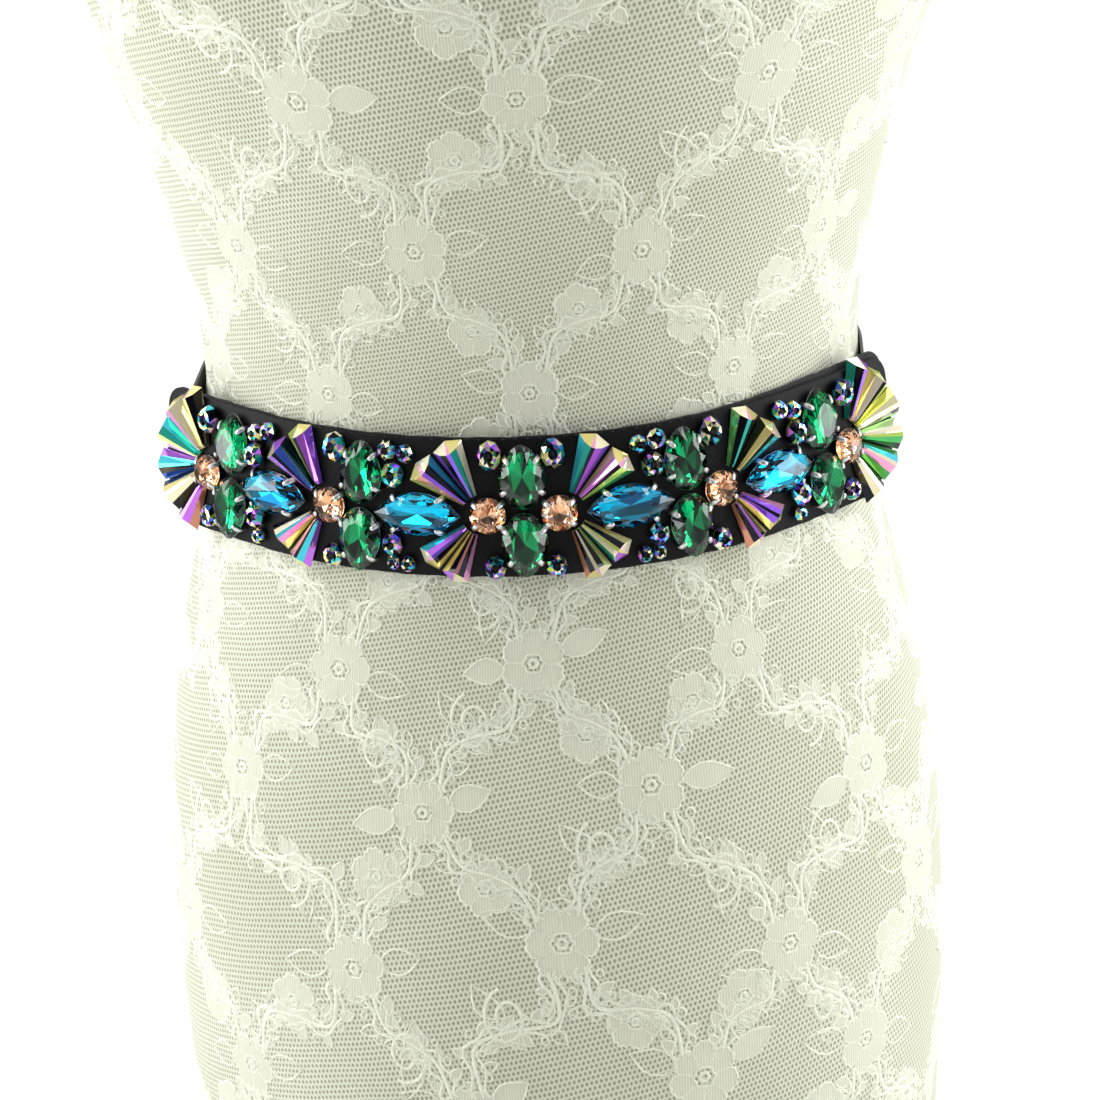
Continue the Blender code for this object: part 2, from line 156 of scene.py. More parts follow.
# Beads: how far along from the middle of the belt, how far up and how wide each is, in millimetres, and how
# tall for its width
Bead = namedtuple("Bead", "place rise width tall")
BEADS = (
    Bead(12.2, 23.2, 9.5, 1.25),
    Bead(11.2, -20.3, 8.4, 1.10),
    Bead(45.8, 23.0, 7.0, 1.08),
    Bead(53.0, 24.0, 7.9, 1.08),
    Bead(50.5, 14.6, 9.5, 1.08),
    Bead(50.5, -12.6, 8.6, 1.08),
    Bead(50.4, -19.6, 5.5, 1.20),
    Bead(44.5, -19.8, 6.4, 1.05),
    Bead(75.7, 23.0, 9.7, 1.25),
    Bead(75.2, -19.6, 8.6, 1.10),
    Bead(108.6, 23.4, 7.3, 1.10),
    Bead(115.3, 21.6, 7.5, 1.05),
    Bead(115.0, 13.0, 9.5, 1.10),
    Bead(113.2, -11.4, 9.2, 1.10),
    Bead(112.0, -19.4, 6.2, 1.05),
    Bead(141.8, 21.6, 9.9, 1.15),
    Bead(139.8, -17.4, 8.6, 1.10),
)


def linear(channel):
    if channel <= 0.04045:
        return channel / 12.92
    return ((channel + 0.055) / 1.055) ** 2.4


def colour(code):
    """An sRGB hex code as a linear colour with alpha."""
    return (*(linear(int(code[i : i + 2], 16) / 255) for i in (0, 2, 4)), 1.0)


def outlet(source):
    """The socket that feeds a link: the one given, or the first output of a node."""
    return source.outputs[0] if isinstance(source, bpy.types.Node) else source


def add_node(look, kind, links=None, stops=None, **settings):
    """Adds a node: its settings, its ramp stops, and for each input a value or what feeds it."""
    made = look.node_tree.nodes.new("ShaderNode" + kind)
    for name, value in settings.items():
        setattr(made, name, value)
    for name, value in (links or {}).items():
        if isinstance(value, (bpy.types.Node, bpy.types.NodeSocket)):
            look.node_tree.links.new(outlet(value), made.inputs[name])
        else:
            made.inputs[name].default_value = value
    if stops:
        ramp = made.color_ramp
        while len(ramp.elements) > 1:
            ramp.elements.remove(ramp.elements[-1])
        ramp.elements[0].position, ramp.elements[0].color = stops[0][0], colour(stops[0][1])
        for place, code in stops[1:]:
            ramp.elements.new(place).color = colour(code)
    return made


def new_look(name, **sockets):
    """A material with its Principled shader and the constants that hold all over it."""
    look = bpy.data.materials.new(name)
    look.use_nodes = True
    shader = look.node_tree.nodes["Principled BSDF"]
    for socket, value in sockets.items():
        shader.inputs[socket.replace("_", " ")].default_value = value
    return look, shader


def wire(look, shader, **sockets):
    """Feeds the shader's inputs with what varies over the surface."""
    for socket, source in sockets.items():
        look.node_tree.links.new(outlet(source), shader.inputs[socket.replace("_", " ")])


# Materials

# A wave texture repeats after a twentieth of a whole turn at scale 1
WAVE_REPEAT = 2 * math.pi / 20

# A Mix node has inputs of one name for each kind of data: its two colours are the seventh and eighth
MIX_COLOUR_A = 6
MIX_COLOUR_B = 7
MIX_COLOUR_OUT = 2

# The net's holes: their pitch in metres, the turns of the three rows of threads, and their height for width
NET_PITCH = 0.0017
NET_TURNS = (38, 98, 158)
NET_TALL = 0.72


def lace_net_look():
    """Knitted nylon stretch net: pale threads round open six-sided holes 1.7 mm apart, through which the
    shaded cover of the form shows darker. The threads are soft and matt and lighten at grazing sight."""
    look, shader = new_look(
        "knitted_lace_net", Roughness=0.85, Sheen_Weight=0.55, Sheen_Roughness=0.5,
        Sheen_Tint=colour("FFFFF4"), Specular_IOR_Level=0.25,
    )
    spot = add_node(look, "UVMap", uv_map="cloth")
    wobble = add_node(look, "TexNoise", {"Vector": spot, "Scale": 40.0, "Detail": 1.0})
    uneven = {0: wobble.outputs["Color"], 1: (0.0016, 0.0016, 0.0), 2: spot}
    shift = add_node(look, "VectorMath", uneven, operation="MULTIPLY_ADD")
    wave = 4 * math.pi / (math.sqrt(3) * NET_PITCH)
    total = None
    for turn in NET_TURNS:
        direction = (wave * math.cos(math.radians(turn)), wave * math.sin(math.radians(turn)) * NET_TALL, 0.0)
        along = add_node(look, "VectorMath", {0: shift, 1: direction}, operation="DOT_PRODUCT")
        ripple = add_node(look, "Math", {0: along.outputs["Value"]}, operation="COSINE")
        total = add_node(look, "Math", {0: total, 1: ripple}, operation="ADD") if total else ripple
    depth = add_node(
        look, "MapRange", {"Value": total, "From Min": -1.2, "From Max": 2.4, "To Min": 0.0, "To Max": 1.0}
    )
    threads = ((0.0, "D8DACB"), (0.30, "CCCEBD"), (0.60, "AAAA97"), (1.0, "96957F"))
    tone = add_node(look, "ValToRGB", {"Fac": depth}, stops=threads)
    patches = add_node(look, "TexNoise", {"Vector": spot, "Scale": 9.0, "Detail": 3.0})
    cast = add_node(look, "ValToRGB", {"Fac": patches}, stops=((0.30, "EFF0E8"), (0.70, "FFFFFF")))
    colours = {"Factor": 1.0, MIX_COLOUR_A: tone, MIX_COLOUR_B: cast}
    mixed = add_node(look, "Mix", colours, data_type="RGBA", blend_type="MULTIPLY")
    bump = add_node(look, "Bump", {"Height": depth, "Strength": 0.45, "Distance": 0.0004}, invert=True)
    wire(look, shader, Base_Color=mixed.outputs[MIX_COLOUR_OUT], Normal=bump)
    return look


def lace_clothwork_look():
    """Filled clothwork of the lace, rayon on nylon: close parallel threads 0.4 mm apart, drawn at 1 mm
    so that they show, satiny and denser than the net, so paler than it."""
    look, shader = new_look(
        "lace_clothwork_rayon", Roughness=0.62, Sheen_Weight=0.30, Sheen_Roughness=0.4,
        Sheen_Tint=colour("FFFFF4"), Specular_IOR_Level=0.35,
    )
    spot = add_node(look, "UVMap", uv_map="cloth")
    drawn = {"Vector": spot, "Scale": WAVE_REPEAT / 0.0010, "Distortion": 2.5, "Detail": 1.0}
    threads = add_node(look, "TexWave", drawn, bands_direction="X").outputs["Fac"]
    tones = ((0.0, "C9CAB8"), (0.5, "D1D2C0"), (1.0, "D9DAC9"))
    tone = add_node(look, "ValToRGB", {"Fac": threads}, stops=tones)
    bump = add_node(look, "Bump", {"Height": threads, "Strength": 0.3, "Distance": 0.0002})
    wire(look, shader, Base_Color=tone, Normal=bump)
    return look


def lace_cord_look():
    """Cordonnet, a soft twisted rayon cord 0.7 mm thick that edges the clothwork: it catches the light."""
    look, shader = new_look(
        "lace_edging_cord", Roughness=0.55, Sheen_Weight=0.25, Sheen_Roughness=0.4, Specular_IOR_Level=0.4
    )
    spot = add_node(look, "TexCoord").outputs["Object"]
    twist = add_node(look, "TexNoise", {"Vector": spot, "Scale": 900.0, "Detail": 2.0})
    tone = add_node(look, "ValToRGB", {"Fac": twist}, stops=((0.3, "D9DCC9"), (0.6, "ECEEDE")))
    bump = add_node(look, "Bump", {"Height": twist, "Strength": 0.4, "Distance": 0.0002})
    wire(look, shader, Base_Color=tone, Normal=bump)
    return look


def jersey_look():
    """Cotton jersey cover of the form, ivory and matt, with fine knitted ribs drawn at 1.5 mm."""
    look, shader = new_look("cotton_jersey_cover", Roughness=0.9, Sheen_Weight=0.2)
    spot = add_node(look, "TexCoord").outputs["Object"]
    drawn = {"Vector": spot, "Scale": WAVE_REPEAT / 0.0015, "Distortion": 0.6}
    ribs = add_node(look, "TexWave", drawn, bands_direction="X").outputs["Fac"]
    tone = add_node(look, "ValToRGB", {"Fac": ribs}, stops=((0.0, "C9C5B3"), (1.0, "DAD7C8")))
    bump = add_node(look, "Bump", {"Height": ribs, "Strength": 0.3, "Distance": 0.0003})
    wire(look, shader, Base_Color=tone, Normal=bump)
    return look


def satin_look():
    """Polyester satin over a stiff core, black: smooth with a soft sheen, its weft floats drawn at 0.6 mm."""
    look, shader = new_look(
        "black_polyester_satin", Roughness=0.50, Sheen_Weight=0.04, Sheen_Roughness=0.3,
        Sheen_Tint=colour("B8B8C0"), Specular_IOR_Level=0.15,
    )
    spot = add_node(look, "UVMap", uv_map="cloth")
    drawn = {"Vector": spot, "Scale": WAVE_REPEAT / 0.0006, "Distortion": 2.0, "Detail": 1.0}
    floats = add_node(look, "TexWave", drawn, bands_direction="DIAGONAL").outputs["Fac"]
    creases = add_node(look, "TexNoise", {"Vector": spot, "Scale": 55.0, "Detail": 3.0})
    tone = add_node(look, "ValToRGB", {"Fac": creases}, stops=((0.3, "060607"), (0.7, "0E0E11")))
    fine = add_node(look, "Bump", {"Height": floats, "Strength": 0.25, "Distance": 0.0001})
    bump = add_node(
        look, "Bump", {"Height": creases, "Strength": 0.35, "Distance": 0.0010, "Normal": fine}
    )
    wire(look, shader, Base_Color=tone, Normal=bump)
    return look


def felt_look():
    """Pressed wool felt, black with a grey fuzz: matt, with fibres tangled at about half a millimetre."""
    look, shader = new_look(
        "black_pressed_felt", Roughness=0.95, Sheen_Weight=0.25, Sheen_Roughness=0.6,
        Sheen_Tint=colour("A8A8AC"),
    )
    spot = add_node(look, "TexCoord").outputs["Object"]
    fuzz = add_node(look, "TexNoise", {"Vector": spot, "Scale": 1200.0, "Detail": 4.0})
    tone = add_node(look, "ValToRGB", {"Fac": fuzz}, stops=((0.3, "121214"), (0.7, "2E2E30")))
    bump = add_node(look, "Bump", {"Height": fuzz, "Strength": 0.6, "Distance": 0.0004})
    wire(look, shader, Base_Color=tone, Normal=bump)
    return look


def elastic_look():
    """Woven black elastic: ribs 1.2 mm apart along its length, crossed by finer rubber cords."""
    look, shader = new_look("black_woven_elastic", Roughness=0.65, Sheen_Weight=0.2, Sheen_Roughness=0.4)
    spot = add_node(look, "UVMap", uv_map="cloth")
    ribs, cords = (
        add_node(
            look, "TexWave", {"Vector": spot, "Scale": WAVE_REPEAT / pitch, "Distortion": uneven},
            bands_direction=axis,
        ).outputs["Fac"]
        for pitch, uneven, axis in ((0.0012, 0.3, "Y"), (0.0010, 0.4, "X"))
    )
    both = add_node(look, "Math", {0: ribs, 1: cords}, operation="MULTIPLY")
    tone = add_node(look, "ValToRGB", {"Fac": both}, stops=((0.1, "0C0C0D"), (0.8, "222225")))
    bump = add_node(look, "Bump", {"Height": both, "Strength": 0.6, "Distance": 0.0003})
    wire(look, shader, Base_Color=tone, Normal=bump)
    return look


def thread_look():
    """Spun polyester sewing thread, black, twisted: a faint light line along each stitch."""
    look, shader = new_look("black_sewing_thread", Roughness=0.6, Sheen_Weight=0.1, Specular_IOR_Level=0.3)
    spot = add_node(look, "TexCoord").outputs["Object"]
    twist = add_node(look, "TexNoise", {"Vector": spot, "Scale": 1500.0})
    tone = add_node(look, "ValToRGB", {"Fac": twist}, stops=((0.3, "08080A"), (0.7, "1A1A1D")))
    wire(look, shader, Base_Color=tone)
    return look


def silver_look(name, base, roughness):
    """Stamped and silver-plated brass: bright metal whose polish varies in small rubbed patches."""
    look, shader = new_look(name, Metallic=1.0)
    spot = add_node(look, "TexCoord").outputs["Object"]
    rubs = add_node(look, "TexNoise", {"Vector": spot, "Scale": 700.0, "Detail": 3.0})
    tone = add_node(look, "ValToRGB", {"Fac": rubs}, stops=((0.3, base), (0.7, "D2D2D0")))
    worn = {"Value": rubs, "To Min": roughness * 0.6, "To Max": roughness * 1.5}
    wire(look, shader, Base_Color=tone, Roughness=add_node(look, "MapRange", worn))
    return look


def glass_look(name, tint, painted_streak):
    """Cut and polished lead-free crystal glass, dyed through: it bends light onto the foil behind it and its
    colour deepens where the glass is thicker. Its tint is painted lighter in random patches, as painted light
    streaks."""
    look, shader = new_look(name, Transmission_Weight=1.0, IOR=1.54, Roughness=0.0, Specular_IOR_Level=0.4)
    spot = add_node(look, "TexCoord").outputs["Object"]
    cloud = add_node(look, "TexNoise", {"Vector": spot, "Scale": 140.0, "Detail": 2.0})
    # Painted light: the lighter stop stands for light streaks in the stone
    tone = add_node(look, "ValToRGB", {"Fac": cloud}, stops=((0.3, tint), (0.7, painted_streak)))
    wire(look, shader, Base_Color=tone)
    return look


def foil_look(name, bright, dark):
    """Mirror foil painted on the back of a stone: each facet returns the light as one flat flash. Its colour
    is painted facet by facet, from near black for a painted dark reflection up to white for a painted flash.
    """
    look, shader = new_look(name, Metallic=1.0, Roughness=0.04)
    facet = add_node(look, "Attribute", attribute_name="tint").outputs["Fac"]
    # Painted light: near black for facets that show a painted dark reflection, up to white for a painted
    # flash
    painted_flashes = ((0.0, "0C0F0F"), (0.25, dark), (0.60, bright), (0.85, bright), (1.0, "FFFFFF"))
    wire(look, shader, Base_Color=add_node(look, "ValToRGB", {"Fac": facet}, stops=painted_flashes))
    return look


# The colours that a vapour-laid oxide coating takes with its thickness, and where each is on the ramp. The
# near-black stop is a painted dark reflection and the near-white stop a painted highlight, not coating
# colours.
COATING = (
    ("ink", "101220"), ("gold", "FFEE9C"), ("lime", "C6E26E"), ("green", "3FAE62"), ("teal", "1E9E92"),
    ("cyan", "4AD6EC"), ("blue", "3C6CE0"), ("violet", "9A5CF4"), ("orchid", "C874EC"), ("pink", "F8ACD8"),
    ("copper", "CC8A5C"), ("olive", "CECA74"), ("pearl", "FFF6DC"),
)
TINT = {name: index / (len(COATING) - 1) for index, (name, _) in enumerate(COATING)}
# How far the coating drifts within a facet, as a noise about a half scales it, and what that adds on average
COATING_DRIFT = 0.05
COATING_SHIFT = 0.035


def tint_of(name):
    """The tint of a facet, a little under its stop, as the drift of the coating adds a little to it."""
    return TINT[name] - COATING_SHIFT


def coated_look(name, metallic, roughness):
    """Glass with a vapour-laid metal oxide coating: mirror bright, each facet another rainbow colour and a
    little colour drift along it. Facets painted near black are painted dark reflections, and facets painted
    near white are painted highlights."""
    look, shader = new_look(name, Metallic=metallic, Roughness=roughness)
    facet = add_node(look, "Attribute", attribute_name="tint").outputs["Fac"]
    spot = add_node(look, "TexCoord").outputs["Object"]
    drift = add_node(look, "TexNoise", {"Vector": spot, "Scale": 60.0})
    shade = add_node(look, "Math", {0: drift, 1: COATING_DRIFT, 2: facet}, operation="MULTIPLY_ADD")
    stops = [(TINT[colour_name], code) for colour_name, code in COATING]
    wire(look, shader, Base_Color=add_node(look, "ValToRGB", {"Fac": shade}, stops=stops))
    return look


# Meshes


def between(low, high, share):
    return low + (high - low) * share


def whole_turn(count, first=0.0):
    return [first + 2 * math.pi * i / count for i in range(count)]


def smooth_step(value):
    value = min(max(value, 0.0), 1.0)
    return value * value * (3 - 2 * value)


def new_piece(name, points, faces, looks, smooth=True, uvs=None, tints=None, marks=None):
    """A mesh piece that rides on the part: uvs are per point, tints and material marks per face."""
    mesh = bpy.data.meshes.new(name)
    mesh.from_pydata([tuple(p) for p in points], [], faces)
    for look in looks:
        mesh.materials.append(look)
    if marks is not None:
        mesh.polygons.foreach_set("material_index", marks)
    if uvs is not None:
        layer = mesh.uv_layers.new(name="cloth")
        corners = np.empty(len(mesh.loops), dtype=np.int32)
        mesh.loops.foreach_get("vertex_index", corners)
        layer.data.foreach_set("uv", np.asarray(uvs, dtype=np.float32)[corners].ravel())
    if tints is not None:
        mesh.attributes.new("tint", "FLOAT", "FACE").data.foreach_set("value", tints)
    mesh.polygons.foreach_set("use_smooth", [smooth] * len(mesh.polygons))
    mesh.update()
    piece = bpy.data.objects.new(name, mesh)
    bpy.context.scene.collection.objects.link(piece)
    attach(piece, "root")
    return piece


class Gather:
    """Collects the points and faces of many small parts into one piece."""

    def __init__(self):
        self.points, self.faces, self.tints, self.marks = [], [], [], []

    def add(self, points, faces, tints=None, mark=0):
        start = len(self.points)
        self.points.extend(points)
        self.faces.extend([tuple(start + i for i in face) for face in faces])
        self.tints.extend(tints if tints is not None else [0.5] * len(faces))
        self.marks.extend([mark] * len(faces))


def loft_faces(rows, count, closed=True, caps=True):
    """Faces of a skin through rows of points, each row a ring of the same count."""
    faces = []
    steps = count if closed else count - 1
    for row in range(rows - 1):
        for i in range(steps):
            j = (i + 1) % count
            low, high = row * count, (row + 1) * count
            faces.append((low + i, low + j, high + j, high + i))
    if caps and closed:
        faces.append(tuple(reversed(range(count))))
        faces.append(tuple(range((rows - 1) * count, rows * count)))
    return faces


# Form and lace


def form_section(height):
    """Half width, front depth and back depth of the form at a height, as a smooth curve through the table."""
    rows = FORM_SECTIONS
    height = min(max(height, rows[0].height), rows[-1].height)
    place = max(i for i in range(len(rows) - 1) if rows[i].height <= height)
    near = [rows[min(max(place + k, 0), len(rows) - 1)] for k in (-1, 0, 1, 2)]
    span = near[2].height - near[1].height
    t = (height - near[1].height) / span
    values = []
    for field in ("half_width", "front", "back"):
        before, low, high, after = (getattr(row, field) for row in near)
        rise_low = span * (high - before) / max(near[2].height - near[0].height, 1e-6)
        rise_high = span * (after - low) / max(near[3].height - near[1].height, 1e-6)
        values.append(
            low * (1 + 2 * t) * (1 - t) ** 2
            + rise_low * t * (1 - t) ** 2
            + high * t * t * (3 - 2 * t)
            + rise_high * t * t * (t - 1)
        )
    return values


def form_point(angle, height, offset=0.0):
    """A point on the form, or offset outside it. The angle runs from the front round towards +X."""
    half_width, front, back = form_section(height)
    depth = front if math.cos(angle) > 0 else back
    point = Vector((half_width * math.sin(angle), -depth * math.cos(angle), height))
    normal = Vector((math.sin(angle) / half_width, -math.cos(angle) / depth, 0)).normalized()
    return point + normal * offset, normal


# How many heights and turns the map has, and half the width and depth of the oval that shares the lace out
LACE_MAP_ROWS = 657
LACE_MAP_TURNS = 721
MEAN_PLAN = (0.150, 0.115)
# How far up and round the form's slope is felt for
SLOPE_RISE = 0.002
SLOPE_TURN = 0.01


class LaceMap:
    """Lays flat lace on the form. Across and along the lace are lengths at its own scale, from the middle
    of the front and from the hem; both are stretched by the girth of the form at that height."""

    def __init__(self):
        self.heights = np.linspace(0.0, FORM_HEIGHT, LACE_MAP_ROWS)
        table = np.array([form_section(h) for h in self.heights])
        self.half_width, self.front, self.back = table.T
        depth = (self.front + self.back) / 2
        girth = math.pi * (3 * (self.half_width + depth) - np.sqrt(
            (3 * self.half_width + depth) * (self.half_width + 3 * depth)))
        slope = np.hypot(np.gradient((self.half_width + depth) / 2), np.gradient(self.heights))
        self.along = np.concatenate(([0.0], np.cumsum((slope * LACE_GIRTH / girth)[:-1])))
        turns = np.linspace(-math.pi, math.pi, LACE_MAP_TURNS)
        wide, deep = MEAN_PLAN
        step = np.hypot(wide * np.cos(turns), deep * np.sin(turns))
        run = np.concatenate(([0.0], np.cumsum((step[1:] + step[:-1]) / 2)))
        self.turns = turns
        self.across = (run / run[-1] - 0.5) * LACE_GIRTH

    def surface(self, turn, height):
        wide = np.interp(height, self.heights, self.half_width)
        front = np.interp(height, self.heights, self.front)
        back = np.interp(height, self.heights, self.back)
        deep = np.where(np.cos(turn) > 0, front, back)
        return np.stack((wide * np.sin(turn), -deep * np.cos(turn), height), axis=-1)

    def lay(self, across, along, out):
        """Points on the form for arrays of lace places, each raised by its own height off the form."""
        half = LACE_GIRTH / 2
        wrapped = (np.asarray(across) + half) % LACE_GIRTH - half
        turn = np.interp(wrapped, self.across, self.turns)
        height = np.interp(along, self.along, self.heights)
        point = self.surface(turn, height)
        low = np.clip(height - SLOPE_RISE, 0.0, FORM_HEIGHT)
        high = np.clip(height + SLOPE_RISE, 0.0, FORM_HEIGHT)
        rise = self.surface(turn, high) - self.surface(turn, low)
        side = self.surface(turn + SLOPE_TURN, height) - self.surface(turn - SLOPE_TURN, height)
        normal = np.cross(side, rise)
        normal /= np.linalg.norm(normal, axis=-1, keepdims=True)
        return point + normal * np.asarray(out)[..., None]


LACE = LaceMap()
LACE_LENGTH = float(LACE.along[-1])


def lace_ground(look):
    """The net itself, an open tube of cloth that covers the form from its foot to its neck."""
    columns, rows = 160, 150
    across = np.linspace(-LACE_GIRTH / 2, LACE_GIRTH / 2, columns + 1)
    along = np.interp(np.linspace(LACE_EDGE, FORM_HEIGHT - LACE_EDGE, rows + 1), LACE.heights, LACE.along)
    grid_across, grid_along = np.meshgrid(across * LACE_SEAM_SHARE, along)
    points = LACE.lay(grid_across.ravel(), grid_along.ravel(), np.full(grid_across.size, LACE_GROUND))
    faces = []
    for row in range(rows):
        for i in range(columns):
            low = row * (columns + 1) + i
            faces.append((low, low + 1, low + columns + 2, low + columns + 1))
    uvs = np.stack((grid_across.ravel(), grid_along.ravel()), axis=-1)
    return new_piece("lace_cover", points, faces, [look], uvs=uvs)


# The body's rounded rims: height from its end and how far in. Its wall: how far in, and from where up
BODY_RIM = ((0.0, 0.0066), (0.0006, 0.0034), (0.0020, 0.0014))
BODY_INSET = 0.0004
BODY_WALL_END = 0.006
BODY_ROWS = 130
BODY_COLUMNS = 120


def form_body(look):
    """The padded torso under the lace, in its plain cover, closed over the neck and under the hips."""
    turns = np.linspace(-math.pi, math.pi, BODY_COLUMNS, endpoint=False)
    heights = np.linspace(BODY_WALL_END, FORM_HEIGHT - BODY_WALL_END, BODY_ROWS)
    rows = list(BODY_RIM) + [(height, BODY_INSET) for height in heights]
    rows += [(FORM_HEIGHT - level, inset) for level, inset in reversed(BODY_RIM)]
    points = []
    for height, inset in rows:
        ring = LACE.surface(turns, np.full(BODY_COLUMNS, float(height)))
        centre = ring.mean(axis=0)
        outward = ring - centre
        outward /= np.linalg.norm(outward, axis=1, keepdims=True)
        points.append(ring - outward * inset)
    faces = loft_faces(len(rows), BODY_COLUMNS)
    return new_piece("form_body", np.vstack(points), faces, [look])


class Lacework:
    """Gathers flat lace shapes as arrays of across, along and out, and lays them on the form at once."""

    def __init__(self):
        self.places, self.faces, self.count = [], [], 0

    def add(self, places, faces):
        self.places.append(np.asarray(places))
        self.faces.extend([tuple(self.count + i for i in face) for face in faces])
        self.count += len(places)

    def cord(self, line, width, lift=LACE_CORD, closed=False):
        """A raised cord along a line of across and along: its two feet on the net and its back above."""
        line = np.asarray(line)
        if closed:
            ahead = np.roll(line, -1, axis=0) - np.roll(line, 1, axis=0)
        else:
            ahead = np.gradient(line, axis=0)
        ahead /= np.maximum(np.linalg.norm(ahead, axis=1, keepdims=True), 1e-9)
        side = np.stack((-ahead[:, 1], ahead[:, 0]), axis=-1) * (width / 2)
        count = len(line)
        rows = [
            np.hstack((line - side, np.full((count, 1), LACE_GROUND))),
            np.hstack((line, np.full((count, 1), lift))),
            np.hstack((line + side, np.full((count, 1), LACE_GROUND))),
        ]
        across = len(rows)
        faces = []
        for i in range(count if closed else count - 1):
            j = (i + 1) % count
            for k in range(across - 1):
                faces.append((across * i + k, across * j + k, across * j + k + 1, across * i + k + 1))
        self.add(np.stack(rows, axis=1).reshape(-1, 3), faces)

    def fill(self, outline, centre, inner=0.0):
        """Clothwork between a centre and its outline, a little domed; leaves lie lower than flowers."""
        count = len(outline)
        level = LACE_CLOTHWORK if inner else LACE_CLOTHWORK * 0.7
        rows = []
        for share, lift in ((inner, 0.9), (between(inner, 1.0, 0.5), 1.15), (0.97, 0.9)):
            flat = centre + (outline - centre) * share
            rows.append(np.hstack((flat, np.full((count, 1), level * lift))))
        self.add(np.vstack(rows), loft_faces(3, count, caps=False))

    def piece(self, name, look):
        """Lays the work on the form; what would pass the foot or the neck is cut off under the hem there."""
        places = np.vstack(self.places)
        places[:, 1] = np.clip(places[:, 1], LACE_CUT, LACE_LENGTH - LACE_CUT)
        points = LACE.lay(places[:, 0], places[:, 1], places[:, 2])
        return new_piece(name, points, self.faces, [look], uvs=places[:, :2])


# Widths of the raised cords
FLOWER_CORD = 0.0010
EYE_CORD = 0.0013
FINE_CORD = 0.0008
SCROLL_CORD = 0.0012
VINE_CORDS = (0.0015, 0.0013, 0.0011)

# How far a flower strays from the repeat, across and along, and where the first row of flowers is
FLOWER_STRAY = (0.008, 0.007)
FIRST_ROW = 0.018
FLOWER_RADII = (0.0108, 0.0132)
SMALL_FLOWER_RADIUS = 0.0098
SMALL_FLOWER_PETALS = 6
BIG_LEAF_LENGTHS = (0.015, 0.021)
BIG_LEAF_WIDTH = 0.0100

# Garlands: how far the cords beside the vine stand off and ripple, where leaves and eyelets are, and how big
VINE_SIDES = ((0.0026, 0.0014), (0.0024, 0.0013))
VINE_LEAF_FOOT = 0.0020
VINE_LEAF_LENGTHS = (0.0045, 0.0085)
EYELET_PLACES = (0.0030, 0.0062)
EYELET_RADII = (0.0010, 0.0017)
MOTIF_PLACE = 0.005
SCROLL_RADIUS = 0.0085

# The range of a flower's turn: a whole turn, to two places
FLOWER_TURNS = (0, 6.28)
FLOWER_STEPS = 96
EYE_STEPS = 14
LEAF_STEPS = 10
EYELET_STEPS = 8
GARLAND_STEPS = 30


def flower_outline(centre, radius, petals, turn):
    """Broad rounded petals that touch each other, with small picots along their edges."""
    angle = np.linspace(0, 2 * math.pi, FLOWER_STEPS, endpoint=False)
    lobe = np.abs(np.cos(petals * angle / 2)) ** 0.45
    picot = 0.065 * np.abs(np.sin(petals * angle * 2))
    reach = radius * (0.66 + 0.28 * lobe + picot)
    return centre + np.stack((reach * np.cos(angle + turn), reach * np.sin(angle + turn) * 1.10), axis=-1)


def lace_flower(cloth, cords, centre, radius, petals, turn):
    """A flower of clothwork with a corded edge, two cord rings about its eye and a cord up each petal."""
    outline = flower_outline(centre, radius, petals, turn)
    cloth.fill(outline, centre, inner=0.30)
    cords.cord(outline, FLOWER_CORD, closed=True)
    for ring, width in ((0.31, FLOWER_CORD), (0.13, EYE_CORD)):
        angle = np.linspace(0, 2 * math.pi, EYE_STEPS, endpoint=False)
        wave = radius * ring * (1 + 0.14 * np.cos(6 * angle))
        circle = centre + np.stack((wave * np.cos(angle), wave * np.sin(angle)), axis=-1)
        cords.cord(circle, width, closed=True)
    for petal in range(petals):
        angle = turn + (petal + 0.5) * 2 * math.pi / petals
        reach = np.linspace(0.36, 0.80, 3)[:, None] * radius
        vein = centre + reach * np.array((math.cos(angle), math.sin(angle) * 1.08))
        cords.cord(vein, FINE_CORD, lift=0.0004)


def leaf_outline(start, heading, length, width, bend=0.0):
    """A leaf widest a little before its middle, with its foot at the start, swayed aside by the bend."""
    share = np.linspace(0, 1, LEAF_STEPS // 2 + 1)
    swell = np.sin(math.pi * share ** 0.85) * width / 2
    sway = bend * np.sin(math.pi * share)
    upper = np.stack((share * length, swell + sway), axis=-1)
    lower = np.stack((share * length, -swell + sway), axis=-1)[::-1][1:-1]
    flat = np.vstack((upper, lower))
    cos, sin = math.cos(heading), math.sin(heading)
    turned = np.stack((flat[:, 0] * cos - flat[:, 1] * sin, flat[:, 0] * sin + flat[:, 1] * cos), axis=-1)
    return start + turned


def lace_leaf(work, start, heading, length, width, filled=True, bend=0.0):
    outline = leaf_outline(start, heading, length, width, bend)
    if filled:
        middle = start + np.array((math.cos(heading), math.sin(heading))) * length * 0.5
        work["leaves"].fill(outline, middle)
    work["leaf_cords"].cord(outline, FINE_CORD, closed=True)


def curve_through(points, count):
    """A smooth line through a few points."""
    points = np.asarray(points, dtype=float)
    place = np.linspace(0, len(points) - 1, count)
    line = []
    for t in place:
        i = min(int(t), len(points) - 2)
        f = t - i
        before, low = points[max(i - 1, 0)], points[i]
        high, after = points[i + 1], points[min(i + 2, len(points) - 1)]
        line.append(
            0.5 * (2 * low + (high - before) * f + (2 * before - 5 * low + 4 * high - after) * f**2
                   + (3 * low - before - 3 * high + after) * f**3)
        )
    return np.array(line)


